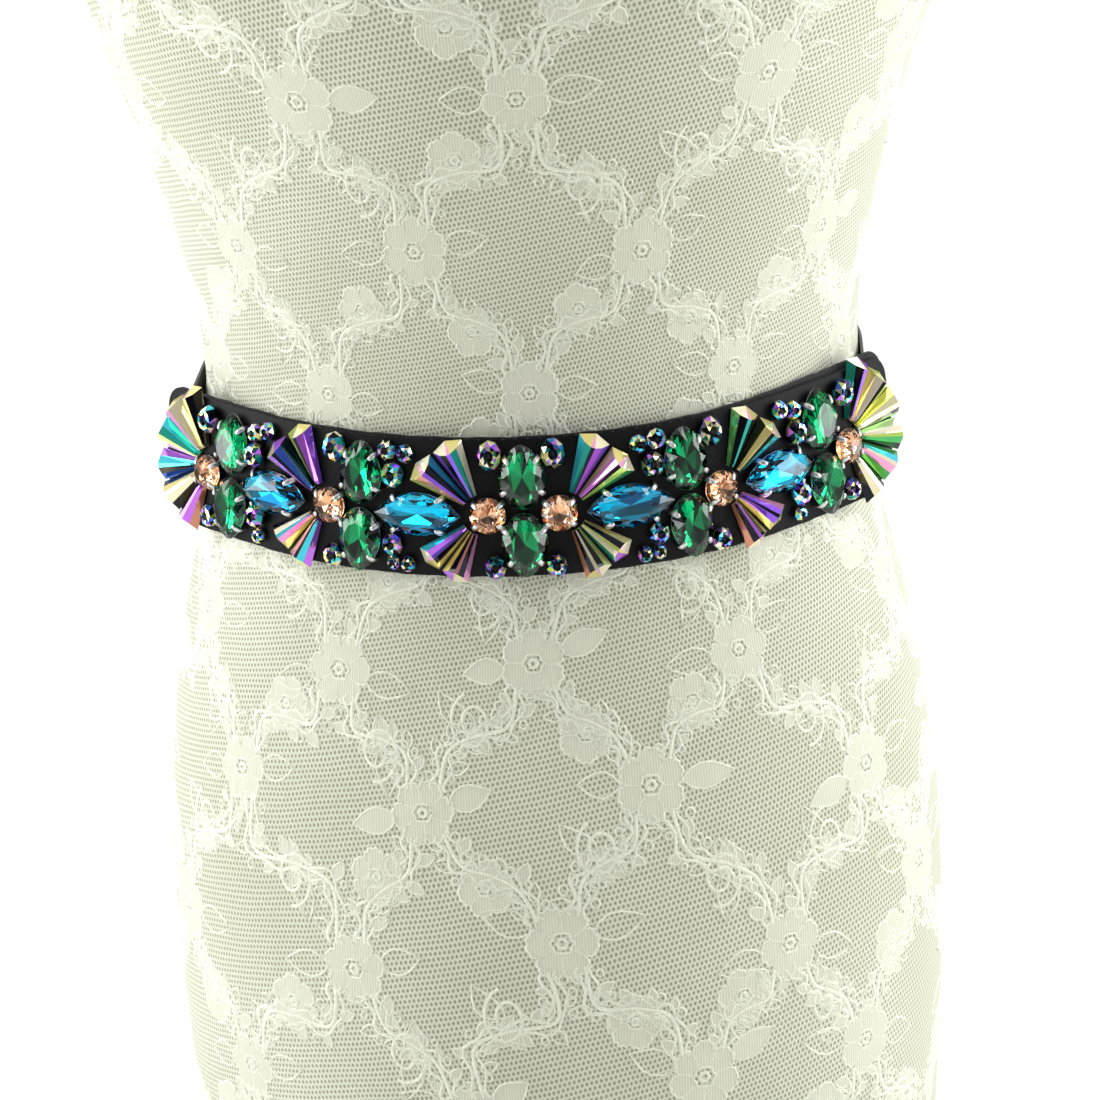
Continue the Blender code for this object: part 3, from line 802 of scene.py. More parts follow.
def garland(work, start, end, bow, flowered, rng):
    """A vine from flower to flower: a bowed cord, two that ripple beside it, small leaves and eyelets on
    both sides, and either a small flower or a scroll at its middle."""
    run = end - start
    side = np.array((-run[1], run[0]))
    bends = [
        start,
        start + run * 0.28 + side * bow,
        start + run * 0.5 + side * bow * 0.3,
        start + run * 0.72 - side * bow,
        end,
    ]
    line = curve_through(bends, GARLAND_STEPS)
    main_cord, left_cord, right_cord = VINE_CORDS
    work["vines"].cord(line, main_cord)
    ahead = np.gradient(line, axis=0)
    ahead /= np.linalg.norm(ahead, axis=1, keepdims=True)
    across = np.stack((-ahead[:, 1], ahead[:, 0]), axis=-1)
    ripple = np.sin(np.linspace(0, 11 * math.pi, GARLAND_STEPS))[:, None]
    (left, left_ripple), (right, right_ripple) = VINE_SIDES
    work["vines"].cord(line + across * (left + left_ripple * ripple), left_cord)
    work["vines"].cord(line - across * (right - right_ripple * ripple), right_cord)
    for place in range(2, GARLAND_STEPS - 2, 2):
        flip = 1 if place % 4 else -1
        heading = math.atan2(ahead[place][1], ahead[place][0]) + flip * rng.uniform(0.5, 1.3)
        length = rng.uniform(*VINE_LEAF_LENGTHS)
        foot = line[place] + across[place] * (flip * VINE_LEAF_FOOT)
        lace_leaf(work, foot, heading, length, length * 0.58, filled=rng.random() < 0.6)
        eyelet = line[place + 1] - across[place + 1] * (flip * rng.uniform(*EYELET_PLACES))
        circle = np.linspace(0, 2 * math.pi, EYELET_STEPS, endpoint=False)
        reach = rng.uniform(*EYELET_RADII)
        ring = eyelet + reach * np.stack((np.cos(circle), 1.2 * np.sin(circle)), axis=-1)
        work["eyelets"].cord(ring, FINE_CORD, closed=True)
    half = GARLAND_STEPS // 2
    middle = line[half] + across[half] * MOTIF_PLACE
    start_turn = math.atan2(across[half][1], across[half][0])
    if flowered:
        turn = rng.uniform(*FLOWER_TURNS)
        flowers = work["flowers"], work["flower_cords"]
        lace_flower(*flowers, middle, SMALL_FLOWER_RADIUS, SMALL_FLOWER_PETALS, turn)
        return
    spiral = np.linspace(0, 3.2 * math.pi, GARLAND_STEPS)
    reach = SCROLL_RADIUS * (1 - spiral / (4.0 * math.pi))
    scroll = np.stack((np.cos(spiral + start_turn), np.sin(spiral + start_turn) * 1.35), axis=-1)
    work["vines"].cord(middle + scroll * reach[:, None], SCROLL_CORD)
    lace_leaf(work, middle, start_turn + 0.5, 0.017, 0.0080, bend=0.002, filled=False)
    lace_leaf(work, middle, start_turn + 3.4, 0.014, 0.0070, bend=-0.002)


def lace_motifs(clothwork, cord):
    """Flowers on a half-drop repeat, joined by garlands that leave wide ovals of open net. Each flower is
    set a little off the repeat, as the net stretches unevenly over the form."""
    looks = {
        "flowers": clothwork, "leaves": clothwork, "flower_cords": cord, "leaf_cords": cord, "vines": cord,
        "eyelets": cord,
    }
    work = {part: Lacework() for part in looks}
    rng = random.Random(11)
    pitch = LACE_GIRTH / LACE_COLUMNS
    rows = int(LACE_LENGTH / LACE_DROP)
    stray_across, stray_along = FLOWER_STRAY
    spots = {}
    for row in range(rows):
        for column in range(LACE_COLUMNS):
            across = (column + 0.5 * (row % 2)) * pitch + rng.uniform(-stray_across, stray_across)
            along = FIRST_ROW + row * LACE_DROP + rng.uniform(-stray_along, stray_along)
            radius, petals = rng.uniform(*FLOWER_RADII), rng.choice((6, 6, 7))
            spots[row, column] = (np.array((across, along)), radius, petals)
    for (row, column), (here, radius, petals) in spots.items():
        turn = rng.uniform(*FLOWER_TURNS)
        lace_flower(work["flowers"], work["flower_cords"], here, radius, petals, turn)
        for heading in (rng.uniform(-0.3, 0.7), rng.uniform(2.6, 3.5)):
            foot = here + np.array((math.cos(heading), math.sin(heading))) * radius * 0.85
            length = rng.uniform(*BIG_LEAF_LENGTHS)
            lace_leaf(work, foot, heading, length, BIG_LEAF_WIDTH, filled=rng.random() < 0.2)
        if row == rows - 1:
            continue
        for step in (0, 1):
            beside = column + step - (0 if row % 2 else 1)
            there, far_radius, _ = spots[row + 1, beside % LACE_COLUMNS]
            shift = (beside // LACE_COLUMNS) * LACE_GIRTH
            there = there + np.array((shift, 0.0))
            ahead = (there - here) / np.linalg.norm(there - here)
            bow = (0.15 if step else -0.13) + rng.uniform(-0.06, 0.06)
            flowered = rng.random() < (0.55 if step else 0.3)
            garland(work, here + ahead * radius * 0.9, there - ahead * far_radius * 0.9, bow, flowered, rng)
    return [work[part].piece("lace_" + part, looks[part]) for part in looks]


# Hems: height on the form and width. The seam: half its gap and the width of the two rows beside it
HEMS = ((0.008, 0.0070), (FORM_HEIGHT - 0.010, 0.0100))
HEM_LIFT = 0.0008
SEAM_HALF = 0.0012
SEAM_CORD = 0.0022
SEAM_LIFT = 0.0007


def lace_hems(cord):
    """A turned hem with its elastic at the foot and at the neck of the lace, and its seam down the back."""
    hems = Lacework()
    across = np.linspace(-LACE_GIRTH / 2, LACE_GIRTH / 2, 181)[:-1]
    for height, width in HEMS:
        along = np.full(across.shape, np.interp(height, LACE.heights, LACE.along))
        hems.cord(np.stack((across, along), axis=-1), width, lift=HEM_LIFT, closed=True)
    run = np.linspace(LACE_CUT, LACE_LENGTH - LACE_CUT, 160)
    for shift in (-SEAM_HALF, SEAM_HALF):
        middle_back = np.full(run.shape, LACE_GIRTH / 2 + shift)
        hems.cord(np.stack((middle_back, run), axis=-1), SEAM_CORD, lift=SEAM_LIFT)
    return hems.piece("lace_hems", cord)


# Belt


def belt_heading(place):
    """How far the belt has turned from straight ahead, at a distance along it from its middle."""
    bent = min(abs(place), BELT_BEND_END) / BELT_RADIUS
    ends = max(abs(place) - BELT_BEND_END, 0.0) / BELT_END_RADIUS
    return math.copysign(bent + ends, place)


def belt_plan(place):
    """Where the belt's middle line is in plan, from its middle: an arc, then nearly straight ends."""
    turn = min(abs(place), BELT_BEND_END) / BELT_RADIUS
    x = BELT_RADIUS * math.sin(turn)
    y = BELT_RADIUS * (1 - math.cos(turn))
    rest = max(abs(place) - BELT_BEND_END, 0.0)
    if rest > 0:
        full = turn + rest / BELT_END_RADIUS
        x += BELT_END_RADIUS * (math.sin(full) - math.sin(turn))
        y += BELT_END_RADIUS * (math.cos(turn) - math.cos(full))
    return math.copysign(x, place), y


def belt_frame(place):
    """Origin, along, up and outward vectors on the band's outer face, at a distance from its middle."""
    x, y = belt_plan(place)
    heading = belt_heading(place)
    origin = Vector((x, BELT_FRONT + y, BELT_HEIGHT + y * math.tan(BELT_TILT)))
    level = Vector((math.sin(heading), -math.cos(heading), 0.0))
    along = Vector((math.cos(heading), math.sin(heading), math.sin(heading) * math.tan(BELT_TILT)))
    along.normalize()
    out = level * math.cos(BELT_LEAN) + Vector((0, 0, math.sin(BELT_LEAN)))
    out = (out - along * out.dot(along)).normalized()
    turn = Matrix.Rotation(BELT_TURN, 3, "Z")
    pivot = Vector((0, BELT_FRONT + BELT_RADIUS, 0))
    return pivot + turn @ (origin - pivot), turn @ along, turn @ out.cross(along), turn @ out


def belt_point(place, rise, out_by):
    origin, _, up, out = belt_frame(place)
    return origin + up * rise + out * out_by


def corner_inset(place, radius):
    """How much a rounded corner takes off one edge of the band near the band's ends."""
    past = abs(place) - (BAND_HALF_LENGTH - radius)
    if past <= 0:
        return 0.0
    return radius - math.sqrt(max(radius**2 - past**2, 0.0))


def backing_rise(place):
    """The backing stands a little above the band towards its right end."""
    length = BAND_HALF_LENGTH - BACKING_RISE_START
    return BACKING_RISE * smooth_step((place - BACKING_RISE_START) / length)


def layer_places():
    straight = BAND_HALF_LENGTH - BAND_FOOT_CORNER
    middle = [between(-straight, straight, i / 140) for i in range(141)]
    corner = [straight + BAND_FOOT_CORNER * math.sin(math.radians(a)) for a in range(4, 89, 4)]
    return [-place for place in reversed(corner)] + middle + corner


# How much the turned and sewn edges of the band and of its backing sway
BAND_SWAY = 0.00012
BACKING_SWAY = 0.00020


def band_layer(name, look, node, outer, thickness, rise_of, sway):
    """One cloth layer of the band, with round edges that sway a little where they were turned and sewn."""
    rings, uvs = [], []
    half = thickness / 2
    for place in layer_places():
        foot, top = corner_inset(place, BAND_FOOT_CORNER), corner_inset(place, BAND_CORNER)
        wave = sway * (math.sin(place * 310) + 0.6 * math.sin(place * 730 + 1.0)) * (1 if foot == 0 else 0)
        low = BAND_BOTTOM + foot + wave
        high = BAND_TOP + rise_of(place) - top + wave * 0.7
        turns = [math.radians(turn) for turn in (-90, -45, 0, 45, 90)]
        ring = [(high - half + half * math.cos(a), outer - half + half * math.sin(a)) for a in turns]
        ring += [(between(low, high, share), outer) for share in (0.75, 0.5, 0.25)]
        ring += [(low + half - half * math.cos(a), outer - half + half * math.sin(a)) for a in turns[::-1]]
        ring += [(between(low, high, share), outer - thickness) for share in (0.25, 0.5, 0.75)]
        rings.append([belt_point(place, rise, out_by) for rise, out_by in ring])
        uvs += [(place, rise + out_by) for rise, out_by in ring]
    points = [p for ring in rings for p in ring]
    piece = new_piece(name, points, loft_faces(len(rings), len(rings[0])), [look], uvs=uvs)
    piece.data.set_sharp_from_angle(angle=math.radians(50))
    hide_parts(node)
    return piece


def strap_height(angle, rise):
    """The strap climbs towards the back like the rest of the belt."""
    depth = form_point(angle, BELT_HEIGHT)[0].y - BELT_FRONT
    return BELT_HEIGHT + depth * math.tan(BELT_TILT) + rise


def tangent_angle(point, rise):
    """Where a straight run from a point beside the form first touches the strap's line round it."""
    half_width, front, _ = form_section(strap_height(math.pi / 2, rise))
    across = abs(point.x) / (half_width + STRAP_CLEARANCE)
    ahead = -point.y / (front + STRAP_CLEARANCE)
    reach = max(math.hypot(across, ahead), 1.0)
    return math.pi - math.asin(1 / reach) - math.atan2(ahead, across)


STRAP_STEPS = 90
STRAP_RIBS = 14
# Where the overlapping strap starts to lift off the other, in overlaps before the middle of the back
STRAP_LIFT_START = 1.6


def strap_line(side, overlap_gap):
    """Stations along a strap: each has its inner edge points, low to high, and its outward direction."""
    rises = (STRAP_BOTTOM, (STRAP_BOTTOM + STRAP_TOP) / 2, STRAP_TOP)
    tab = []
    for place in STRAP_TAB:
        points = [belt_point(side * place, rise, TAB_INNER) for rise in rises]
        tab.append((points, belt_frame(side * place)[3]))
    firsts = [tangent_angle(point, rise) for point, rise in zip(tab[1][0], rises)]
    last = math.pi + STRAP_OVERLAP / 2
    back = []
    for i in range(STRAP_STEPS):
        points = []
        for first, rise in zip(firsts, rises):
            angle = between(first, last, i / (STRAP_STEPS - 1))
            lift = overlap_gap * smooth_step((angle - math.pi) / STRAP_OVERLAP + STRAP_LIFT_START)
            point, normal = form_point(angle, strap_height(angle, rise), STRAP_CLEARANCE + lift)
            point.x *= side
            points.append(point)
        normal.x *= side
        back.append((points, normal))
    return round_bend(tab, back)


def round_bend(tab, back):
    """Joins the tab sewn behind the band to the stretch round the form by a small rounded bend."""
    (start, out_start), (corner, _), (end, out_end) = tab[0], tab[1], back[0]
    run = (end[1] - corner[1]).normalized()
    out_run = run.cross((corner[2] - corner[0]).normalized())
    if out_run.dot(out_end) < 0:
        out_run.negate()
    stations = [(start, out_start)]
    for share in (0.0, 0.2, 0.4, 0.6, 0.8, 1.0):
        points = []
        for a, b, c in zip(start, corner, end):
            before = b + (a - b).normalized() * STRAP_BEND
            after = b + (c - b).normalized() * STRAP_BEND
            points.append(before.lerp(b, share).lerp(b.lerp(after, share), share))
        stations.append((points, out_start.lerp(out_run, share).normalized()))
    for share in (0.2, 0.4, 0.6, 0.8):
        points = [b.lerp(c, share) for b, c in zip(corner, end)]
        stations.append((points, out_run.lerp(out_end, share * 0.5).normalized()))
    return stations + back


def strap(name, side, look, overlap_gap):
    """An elastic strap with shallow ribs along its length, and its flat length."""
    points, uvs, run = [], [], 0.0
    shares = [i / STRAP_RIBS for i in range(STRAP_RIBS + 1)]
    stations = strap_line(side, overlap_gap)
    last = stations[0][0][1]
    for (low, middle, high), out in stations:
        run += (middle - last).length
        last = middle
        edge = (high - low).length
        row = [low.lerp(high, share) for share in shares]
        points += [p + out * (STRAP_THICKNESS * (1.0 if i % 2 else 0.90)) for i, p in enumerate(row)]
        points += reversed(row)
        uvs += [(run, share * edge) for share in shares + shares[::-1]]
    faces = loft_faces(len(stations), 2 * len(shares))
    if side < 0:
        faces = [tuple(reversed(face)) for face in faces]
    piece = new_piece(name + "_elastic", points, faces, [look], uvs=uvs)
    piece.data.set_sharp_from_angle(angle=math.radians(50))
    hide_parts(name)
    return piece, run


# A stitch along its length: share of the length, how far it stands off the cloth and how thick it is
STITCH_SHAPE = ((0.0, -0.3, 0.4), (0.2, 0.7, 1.0), (0.5, 1.0, 1.0), (0.8, 0.7, 1.0), (1.0, -0.3, 0.4))
STITCH_SIDES = 6
STRAP_THREAD_RADIUS = 0.00022
STRAP_STITCH_LENGTH = 0.0017
# How far the tab's stitches keep from its edges and from its far end. Then the rows beside the overlap: how
# far each is from its start, in radians, and how far they keep from the strap's foot and head.
STITCH_MARGIN = 0.002
STITCH_TAB_END = 0.005
OVERLAP_ROWS = (0.012, 0.034)
OVERLAP_MARGINS = (0.0015, 0.0035)
EDGE_THREAD_RADIUS = 0.00020
EDGE_STITCH_LENGTH = 0.0014
EDGE_STITCH_PITCH = 0.0048
EDGE_STITCH_INSET = 0.0006


def thread_stitch(gather, start, end, out, radius):
    """One stitch: a short round of thread that dips into the cloth at both ends."""
    points = []
    ahead = (end - start).normalized()
    side = ahead.cross(out).normalized()
    for share, lift, size in STITCH_SHAPE:
        middle = start.lerp(end, share) + out * (radius * lift)
        for turn in whole_turn(STITCH_SIDES):
            points.append(middle + (side * math.cos(turn) + out * math.sin(turn)) * radius * size)
    gather.add(points, loft_faces(len(STITCH_SHAPE), STITCH_SIDES))


def strap_stitches(look):
    """Box stitches that fasten each strap's tab to the backing, seen from inside the belt, and the rows
    beside the overlap at the middle of the back."""
    gather = Gather()
    length, radius = STRAP_STITCH_LENGTH, STRAP_THREAD_RADIUS
    depth = TAB_INNER - THREAD_LIFT
    tab_start, tab_end = STRAP_TAB[0] + STITCH_MARGIN / 2, STRAP_TAB[1] - STITCH_TAB_END
    foot, head = STRAP_BOTTOM + STITCH_MARGIN, STRAP_TOP - STITCH_MARGIN
    for side in (-1, 1):
        for rise in (foot, head):
            for i in range(5):
                place = between(tab_start, tab_end, i / 5)
                start = belt_point(side * place, rise, depth)
                end = belt_point(side * (place + length), rise, depth)
                thread_stitch(gather, start, end, -belt_frame(side * place)[3], radius)
        for i in range(14):
            rise = between(foot, head - STITCH_MARGIN, i / 13)
            place = side * tab_start
            start, end = belt_point(place, rise, depth), belt_point(place, rise + length, depth)
            thread_stitch(gather, start, end, -belt_frame(place)[3], radius)
    lift = STRAP_CLEARANCE + 2 * STRAP_THICKNESS + LAYER_GAP + THREAD_LIFT
    low, high = OVERLAP_MARGINS
    for row in OVERLAP_ROWS:
        angle = math.pi - STRAP_OVERLAP / 2 + row
        for i in range(15):
            rise = between(STRAP_BOTTOM + low, STRAP_TOP - high, i / 14)
            start, out = form_point(angle, strap_height(angle, rise), lift)
            end, _ = form_point(angle, strap_height(angle, rise + length), lift)
            for point in (start, end, out):
                point.x *= -1
            thread_stitch(gather, start, end, out, radius)
    return new_piece("strap_stitches", gather.points, gather.faces, [look])


def edge_stitches(look):
    """Small overcast stitches that close the band's satin to its felt along the top and bottom edges."""
    gather = Gather()
    for rise, sign, corner in ((BAND_TOP, 1, BAND_CORNER), (BAND_BOTTOM, -1, BAND_FOOT_CORNER)):
        straight = BAND_HALF_LENGTH - corner - STITCH_MARGIN
        for place in np.arange(-straight, straight, EDGE_STITCH_PITCH):
            out = belt_frame(place)[3]
            start = belt_point(place, rise - sign * EDGE_STITCH_INSET, -THREAD_LIFT)
            end = belt_point(place + EDGE_STITCH_LENGTH, rise - sign * EDGE_STITCH_INSET, -THREAD_LIFT)
            thread_stitch(gather, start, end, out, EDGE_THREAD_RADIUS)
    return new_piece("edge_stitches", gather.points, gather.faces, [look])


# Stones

ROUND_SIDES = 16
PEAR_SIDES = 20
NAVETTE_SIDES = 16
# Where claws hold a stone: turns round a round one, and places along and up the other two
ROUND_CLAWS = (40, 140, 220, 320)
NAVETTE_CLAWS = ((0.0098, 0.0066), (-0.0098, 0.0066), (-0.0098, -0.0066), (0.0098, -0.0066))
PEAR_CLAWS = ((0.0078, -0.0062), (-0.0078, -0.0062), (0.0062, 0.0072), (-0.0062, 0.0072))
CLAW_SIDES = 8
# A cup's wall: share of the stone's outline and share of its height
CUP_RINGS = ((0.80, 0.03), (0.88, 0.14), (0.985, 0.32), (1.0, 0.385), (0.97, 0.38))


def on_round(turns):
    """Places on the edge of a round stone, one for each turn."""
    return [(ROUND_RADIUS * math.cos(turn), ROUND_RADIUS * math.sin(turn)) for turn in turns]


def pear_outline():
    """A pear with its tip towards +Y, centred on its box."""
    outline = []
    for turn in whole_turn(PEAR_SIDES, -math.pi / 2):
        taper = 1.0 - PEAR_TIP_TAPER * max(math.sin(turn), 0.0) ** PEAR_TIP_POWER
        outline.append((PEAR_WIDTH / 2 * math.cos(turn) * taper, PEAR_LENGTH / 2 * math.sin(turn)))
    return outline


def navette_outline():
    """Two arcs that meet in points at each end, along X."""
    half_length, half_width = NAVETTE_LENGTH / 2, NAVETTE_WIDTH / 2
    radius = (half_length**2 + half_width**2) / (2 * half_width)
    reach = math.asin(half_length / radius)
    upper = []
    for i in range(NAVETTE_SIDES // 2):
        turn = between(reach, -reach, i / (NAVETTE_SIDES // 2))
        upper.append((radius * math.sin(turn), radius * math.cos(turn) - radius + half_width))
    return upper + [(-x, -y) for x, y in upper]


# Levels of a cut stone as shares of its height, and the keel of its pavilion as a share of its outline
GIRDLE_LOW = 0.40
GIRDLE_HIGH = 0.46
KITE_LEVEL = between(GIRDLE_HIGH, 1.0, 0.62)
KEEL_LEVEL = 0.16
CULET_LEVEL = 0.07
KEEL_SHARE = 0.48


def cut_stone(outline, height, table, waist, culet_line):
    """Facets of a brilliant cut: crown with table, stars, kites and halves, then the pavilion below.

    The pavilion's faces carry the foil. It runs down to a keel of the given half length along the stone."""
    double = len(outline)
    single = double // 2
    odds = range(1, double, 2)
    points = [(x, y, GIRDLE_HIGH * height) for x, y in outline]
    points += [(x, y, GIRDLE_LOW * height) for x, y in outline]
    mid = len(points)
    points += [(outline[i][0] * waist, outline[i][1] * waist, KITE_LEVEL * height) for i in odds]
    top = len(points)
    points += [(x * table, y * table, height) for x, y in outline[::2]]
    keel = len(points)
    for i in odds:
        x, y = outline[i][0] * KEEL_SHARE, outline[i][1] * KEEL_SHARE
        x += math.copysign(culet_line[0], x)
        y += math.copysign(culet_line[1], y)
        points.append((x, y, KEEL_LEVEL * height))
    tip = len(points)
    points.append((0.0, 0.0, CULET_LEVEL * height))
    crown = [tuple(top + i for i in range(single))]
    foil = []
    for i in range(single):
        after = (i + 1) % single
        even, odd, last = 2 * i, 2 * i + 1, (2 * i + 2) % double
        crown.append((top + i, mid + i, top + after))
        crown.append((top + i, mid + (i - 1) % single, even, mid + i))
        crown.append((mid + i, even, odd))
        crown.append((mid + i, odd, last))
        crown.append((even, double + even, double + odd, odd))
        crown.append((odd, double + odd, double + last, last))
        foil.append((double + odd, double + even, keel + i))
        foil.append((double + last, double + odd, keel + i))
        foil.append((double + last, keel + i, keel + after))
        foil.append((keel + i, tip, keel + after))
    return points, crown, foil


def claw(gather, origin, along, up, out, spot, height):
    """A prong that rises beside the stone from its cup and folds over the edge of the crown."""
    x, y = spot
    inward = -(along * x + up * y).normalized()
    side = inward.cross(out).normalized()
    base = origin + along * x + up * y
    # How far in over the stone, how far out from the band, half the width and half the thickness
    steps = (
        (-0.0006, 0.0002, 0.0011, 0.0004),
        (-0.0007, height * 0.34, 0.0011, 0.0004),
        (-0.0005, height * 0.52, 0.0011, 0.00045),
        (0.0002, height * 0.66, 0.0011, 0.00050),
        (0.0011, height * 0.76, 0.0010, 0.00050),
        (0.0018, height * 0.83, 0.0008, 0.00045),
        (0.0023, height * 0.84, 0.0003, 0.00018),
    )
    points = []
    for i, (reach, level, wide, thick) in enumerate(steps):
        before = steps[max(i - 1, 0)]
        after = steps[min(i + 1, len(steps) - 1)]
        ahead = (inward * (after[0] - before[0]) + out * (after[1] - before[1])).normalized()
        back = side.cross(ahead).normalized()
        middle = base + inward * reach + out * level
        for turn in whole_turn(CLAW_SIDES):
            points.append(middle + side * (wide * math.cos(turn)) + back * (thick * math.sin(turn)))
    gather.add(points, loft_faces(len(steps), CLAW_SIDES))


def cup(gather, origin, along, up, out, outline, height):
    """The metal cup under a stone: a thin wall from the band up to the girdle."""
    points = []
    for scale, level in CUP_RINGS:
        for x, y in outline:
            points.append(origin + along * (x * scale) + up * (y * scale) + out * (level * height))
    gather.add(points, loft_faces(len(CUP_RINGS), len(outline), caps=False))


class Jewels:
    """Cuts the stones of one kind and sets each in its cup and claws. The painted flash ranges are the lowest
    and the highest tint of the foil in its outer and in its inner facets, on a ramp from painted dark
    reflection up to painted flash."""

    def __init__(self, glass, foil, slot_name, settings, painted_flashes):
        self.looks, self.slot_name, self.settings, self.painted_flashes = [glass, foil], slot_name, settings, painted_flashes

    def set_stone(self, node, place, rise, outline, height, cut, claws, flip=1):
        origin, along, up, out = belt_frame(place)
        origin = origin + up * rise
        local, crown, foil = cut_stone(outline, height, *cut)
        rng = random.Random(node)
        points = [origin + along * (x * flip) + up * (y * flip) + out * z for x, y, z in local]
        # Foil facets get random tints on the ramp of painted dark reflection and painted flash
        tints = [0.5] * len(crown) + [rng.uniform(*self.painted_flashes[i % 4 > 1]) for i in range(len(foil))]
        marks = [0] * len(crown) + [1] * len(foil)
        piece = new_piece(
            node + "_cut", points, crown + foil, self.looks,
            smooth=False, tints=tints, marks=marks,
        )
        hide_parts(node)
        placed = [(x * flip, y * flip) for x, y in outline]
        cup(self.settings, origin, along, up, out, placed, height)
        for x, y in claws:
            claw(self.settings, origin, along, up, out, (x * flip, y * flip), height)


def all_stones(looks):
    """Rounds, navettes and pairs of pears along the belt, mirrored about the middle pair."""
    settings = Gather()
    jewels = [
        Jewels(looks[name], looks[name + "_foil"], name + "_glass", settings, painted_flashes)
        for name, painted_flashes in (
            ("amber", ((0.15, 0.75), (0.2, 1.0))),
            ("blue", ((0.15, 0.7), (0.25, 0.85))),
            ("emerald", ((0.1, 0.85), (0.18, 0.68))),
        )
    ]
    rounds, navettes, pears = jewels
    around = on_round(math.radians(turn) for turn in ROUND_CLAWS)
    # Outline, height, then shares of the table and of the kites and half the keel's length, then claws
    round_stone = (on_round(whole_turn(ROUND_SIDES)), ROUND_HEIGHT, (0.42, 0.76, (0.0, 0.0)), around)
    navette_stone = (navette_outline(), NAVETTE_HEIGHT, (0.58, 0.83, (0.0050, 0.0)), NAVETTE_CLAWS)
    pear_stone = (pear_outline(), PEAR_HEIGHT, (0.56, 0.82, (0.0, 0.0030)), PEAR_CLAWS)
    pear_rows = [("middle", 0.0)]
    for side, mark in ((-1, "left"), (1, "right")):
        for number in (1, 2, 3):
            place = side * ((number - 1) * REPEAT + ROUND_PLACE)
            rounds.set_stone(f"round_{mark}_{number}", place, 0.0, *round_stone)
        for number in (1, 2):
            place = side * ((number - 1) * REPEAT + NAVETTE_PLACE)
            navettes.set_stone(f"navette_{mark}_{number}", place, 0.0, *navette_stone)
            pear_rows.append((f"{mark}_{number}", side * number * REPEAT))
    for mark, place in pear_rows:
        pears.set_stone(f"pear_{mark}_upper", place, PEAR_UPPER, *pear_stone)
        pears.set_stone(f"pear_{mark}_lower", place, PEAR_LOWER, *pear_stone, flip=-1)
    new_piece("stone_settings", settings.points, settings.faces, [looks["silver"]])


# Crystals


# Half of a crystal's section from its foot to its ridge: share of the half width, share of the height
CRYSTAL_PROFILE = ((1.0, 0.0), (0.62, 0.60), (0.15, 1.0))
CRYSTAL_SLANT = 0.0044
CRYSTAL_WEDGE = 0.0022
CRYSTAL_HEIGHT = 0.0060
CRYSTAL_ROOT_CUT = 0.0014
# The ridge's height at the root and where the cut at the root ends
CRYSTAL_ROOT_RIDGES = (0.0026, 0.0034)
# The most that a facet's tint departs from its colour, and that a crystal is shorter than its place
TINT_JITTER = 0.015
LENGTH_JITTER = 0.0010
# How much of its place in the fan a crystal fills, so that the band shows as a dark gap beside it
PAIR_SHARE = 0.90
END_SHARE = 0.95

# The coating colours of each crystal's five long facets, crystal by crystal round the fan, with painted dark
# reflections and painted highlights among them
FAN_COLOURS = {
    "fan_left_1_upper": "violet ink violet teal pearl / lime copper violet ink teal",
    "fan_left_1_lower": "gold ink violet orchid cyan / pink ink copper ink gold",
    "fan_left_2_upper": "teal lime ink orchid violet / pearl orchid ink blue ink",
    "fan_left_2_lower": "gold pink cyan pearl ink / orchid cyan ink pink gold",
    "fan_right_1_upper": "gold pink ink lime green / cyan teal ink orchid violet",
    "fan_right_1_lower": "gold ink pearl ink copper / gold ink lime pearl teal",
    "fan_right_2_upper": "ink gold ink teal blue / green ink teal ink lime",
    "fan_right_2_lower": "gold ink orchid ink copper / pink violet ink violet gold",
    "end_fan_left": (
        "olive gold gold ink ink / green teal pink pearl pearl / gold pearl lime teal cyan / "
        "blue ink cyan cyan violet / ink pearl pearl gold ink / copper orchid orchid ink gold"
    ),
    "end_fan_right": (
        "olive ink pearl pearl ink / green cyan pearl pink green / pearl pearl lime green ink / "
        "lime pearl pearl ink green / gold pearl ink lime olive / teal ink violet violet gold"
    ),
}

# The colours of the three facets at a crystal's cut end, painted highlights among them
END_COLOURS = (
    ("gold", "pink", "pearl"),
    ("pearl", "gold", "orchid"),
    ("lime", "pearl", "gold"),
    ("pearl", "pink", "gold"),
)


def crystal(gather, centre, axes, turn, roll, root, reach, share, tints, end_tints):
    """One tapered crystal: narrow at its root, long facets along it, its outer end cut off aslant in a
    wedge of three facets. It lies a little rolled about its length, as it was glued."""
    along, up, out = axes
    flat = along * math.cos(turn) + up * math.sin(turn)
    side = up * math.cos(turn) - along * math.sin(turn)
    section = list(CRYSTAL_PROFILE) + [(-w, h) for w, h in reversed(CRYSTAL_PROFILE)]
    side = (side * math.cos(roll) + out * math.sin(roll)).normalized()
    spread = math.tan(CRYSTAL_SPREAD / 2) * share
    low, high = CRYSTAL_ROOT_RIDGES
    stations = ((root, low), (root + CRYSTAL_ROOT_CUT, high), (reach, CRYSTAL_HEIGHT))
    points = []
    for distance, ridge in stations:
        for width, level in section:
            at, height = distance, STONE_SEAT + (ridge - STONE_SEAT) * level
            if distance == reach:
                at = reach - CRYSTAL_SLANT * level - CRYSTAL_WEDGE * abs(width)
            lift = abs(math.sin(roll)) * at * spread
            points.append(centre + flat * at + side * (width * at * spread) + out * (height + lift))
    count = len(section)
    last = 2 * count
    nose = len(points)
    points.append(centre + flat * reach + out * STONE_SEAT)
    faces = loft_faces(3, count)[:-1]
    faces.append((last, last + 1, last + 2, nose))
    faces.append((last + 2, last + 3, nose))
    faces.append((last + 3, last + 4, last + 5, nose))
    faces.append((last + 5, last, nose))
    colours = [tints[index % count % len(tints)] for index in range(2 * count)]
    gather.add(points, faces, tints=colours + [tints[0]] + end_tints + [end_tints[0]])


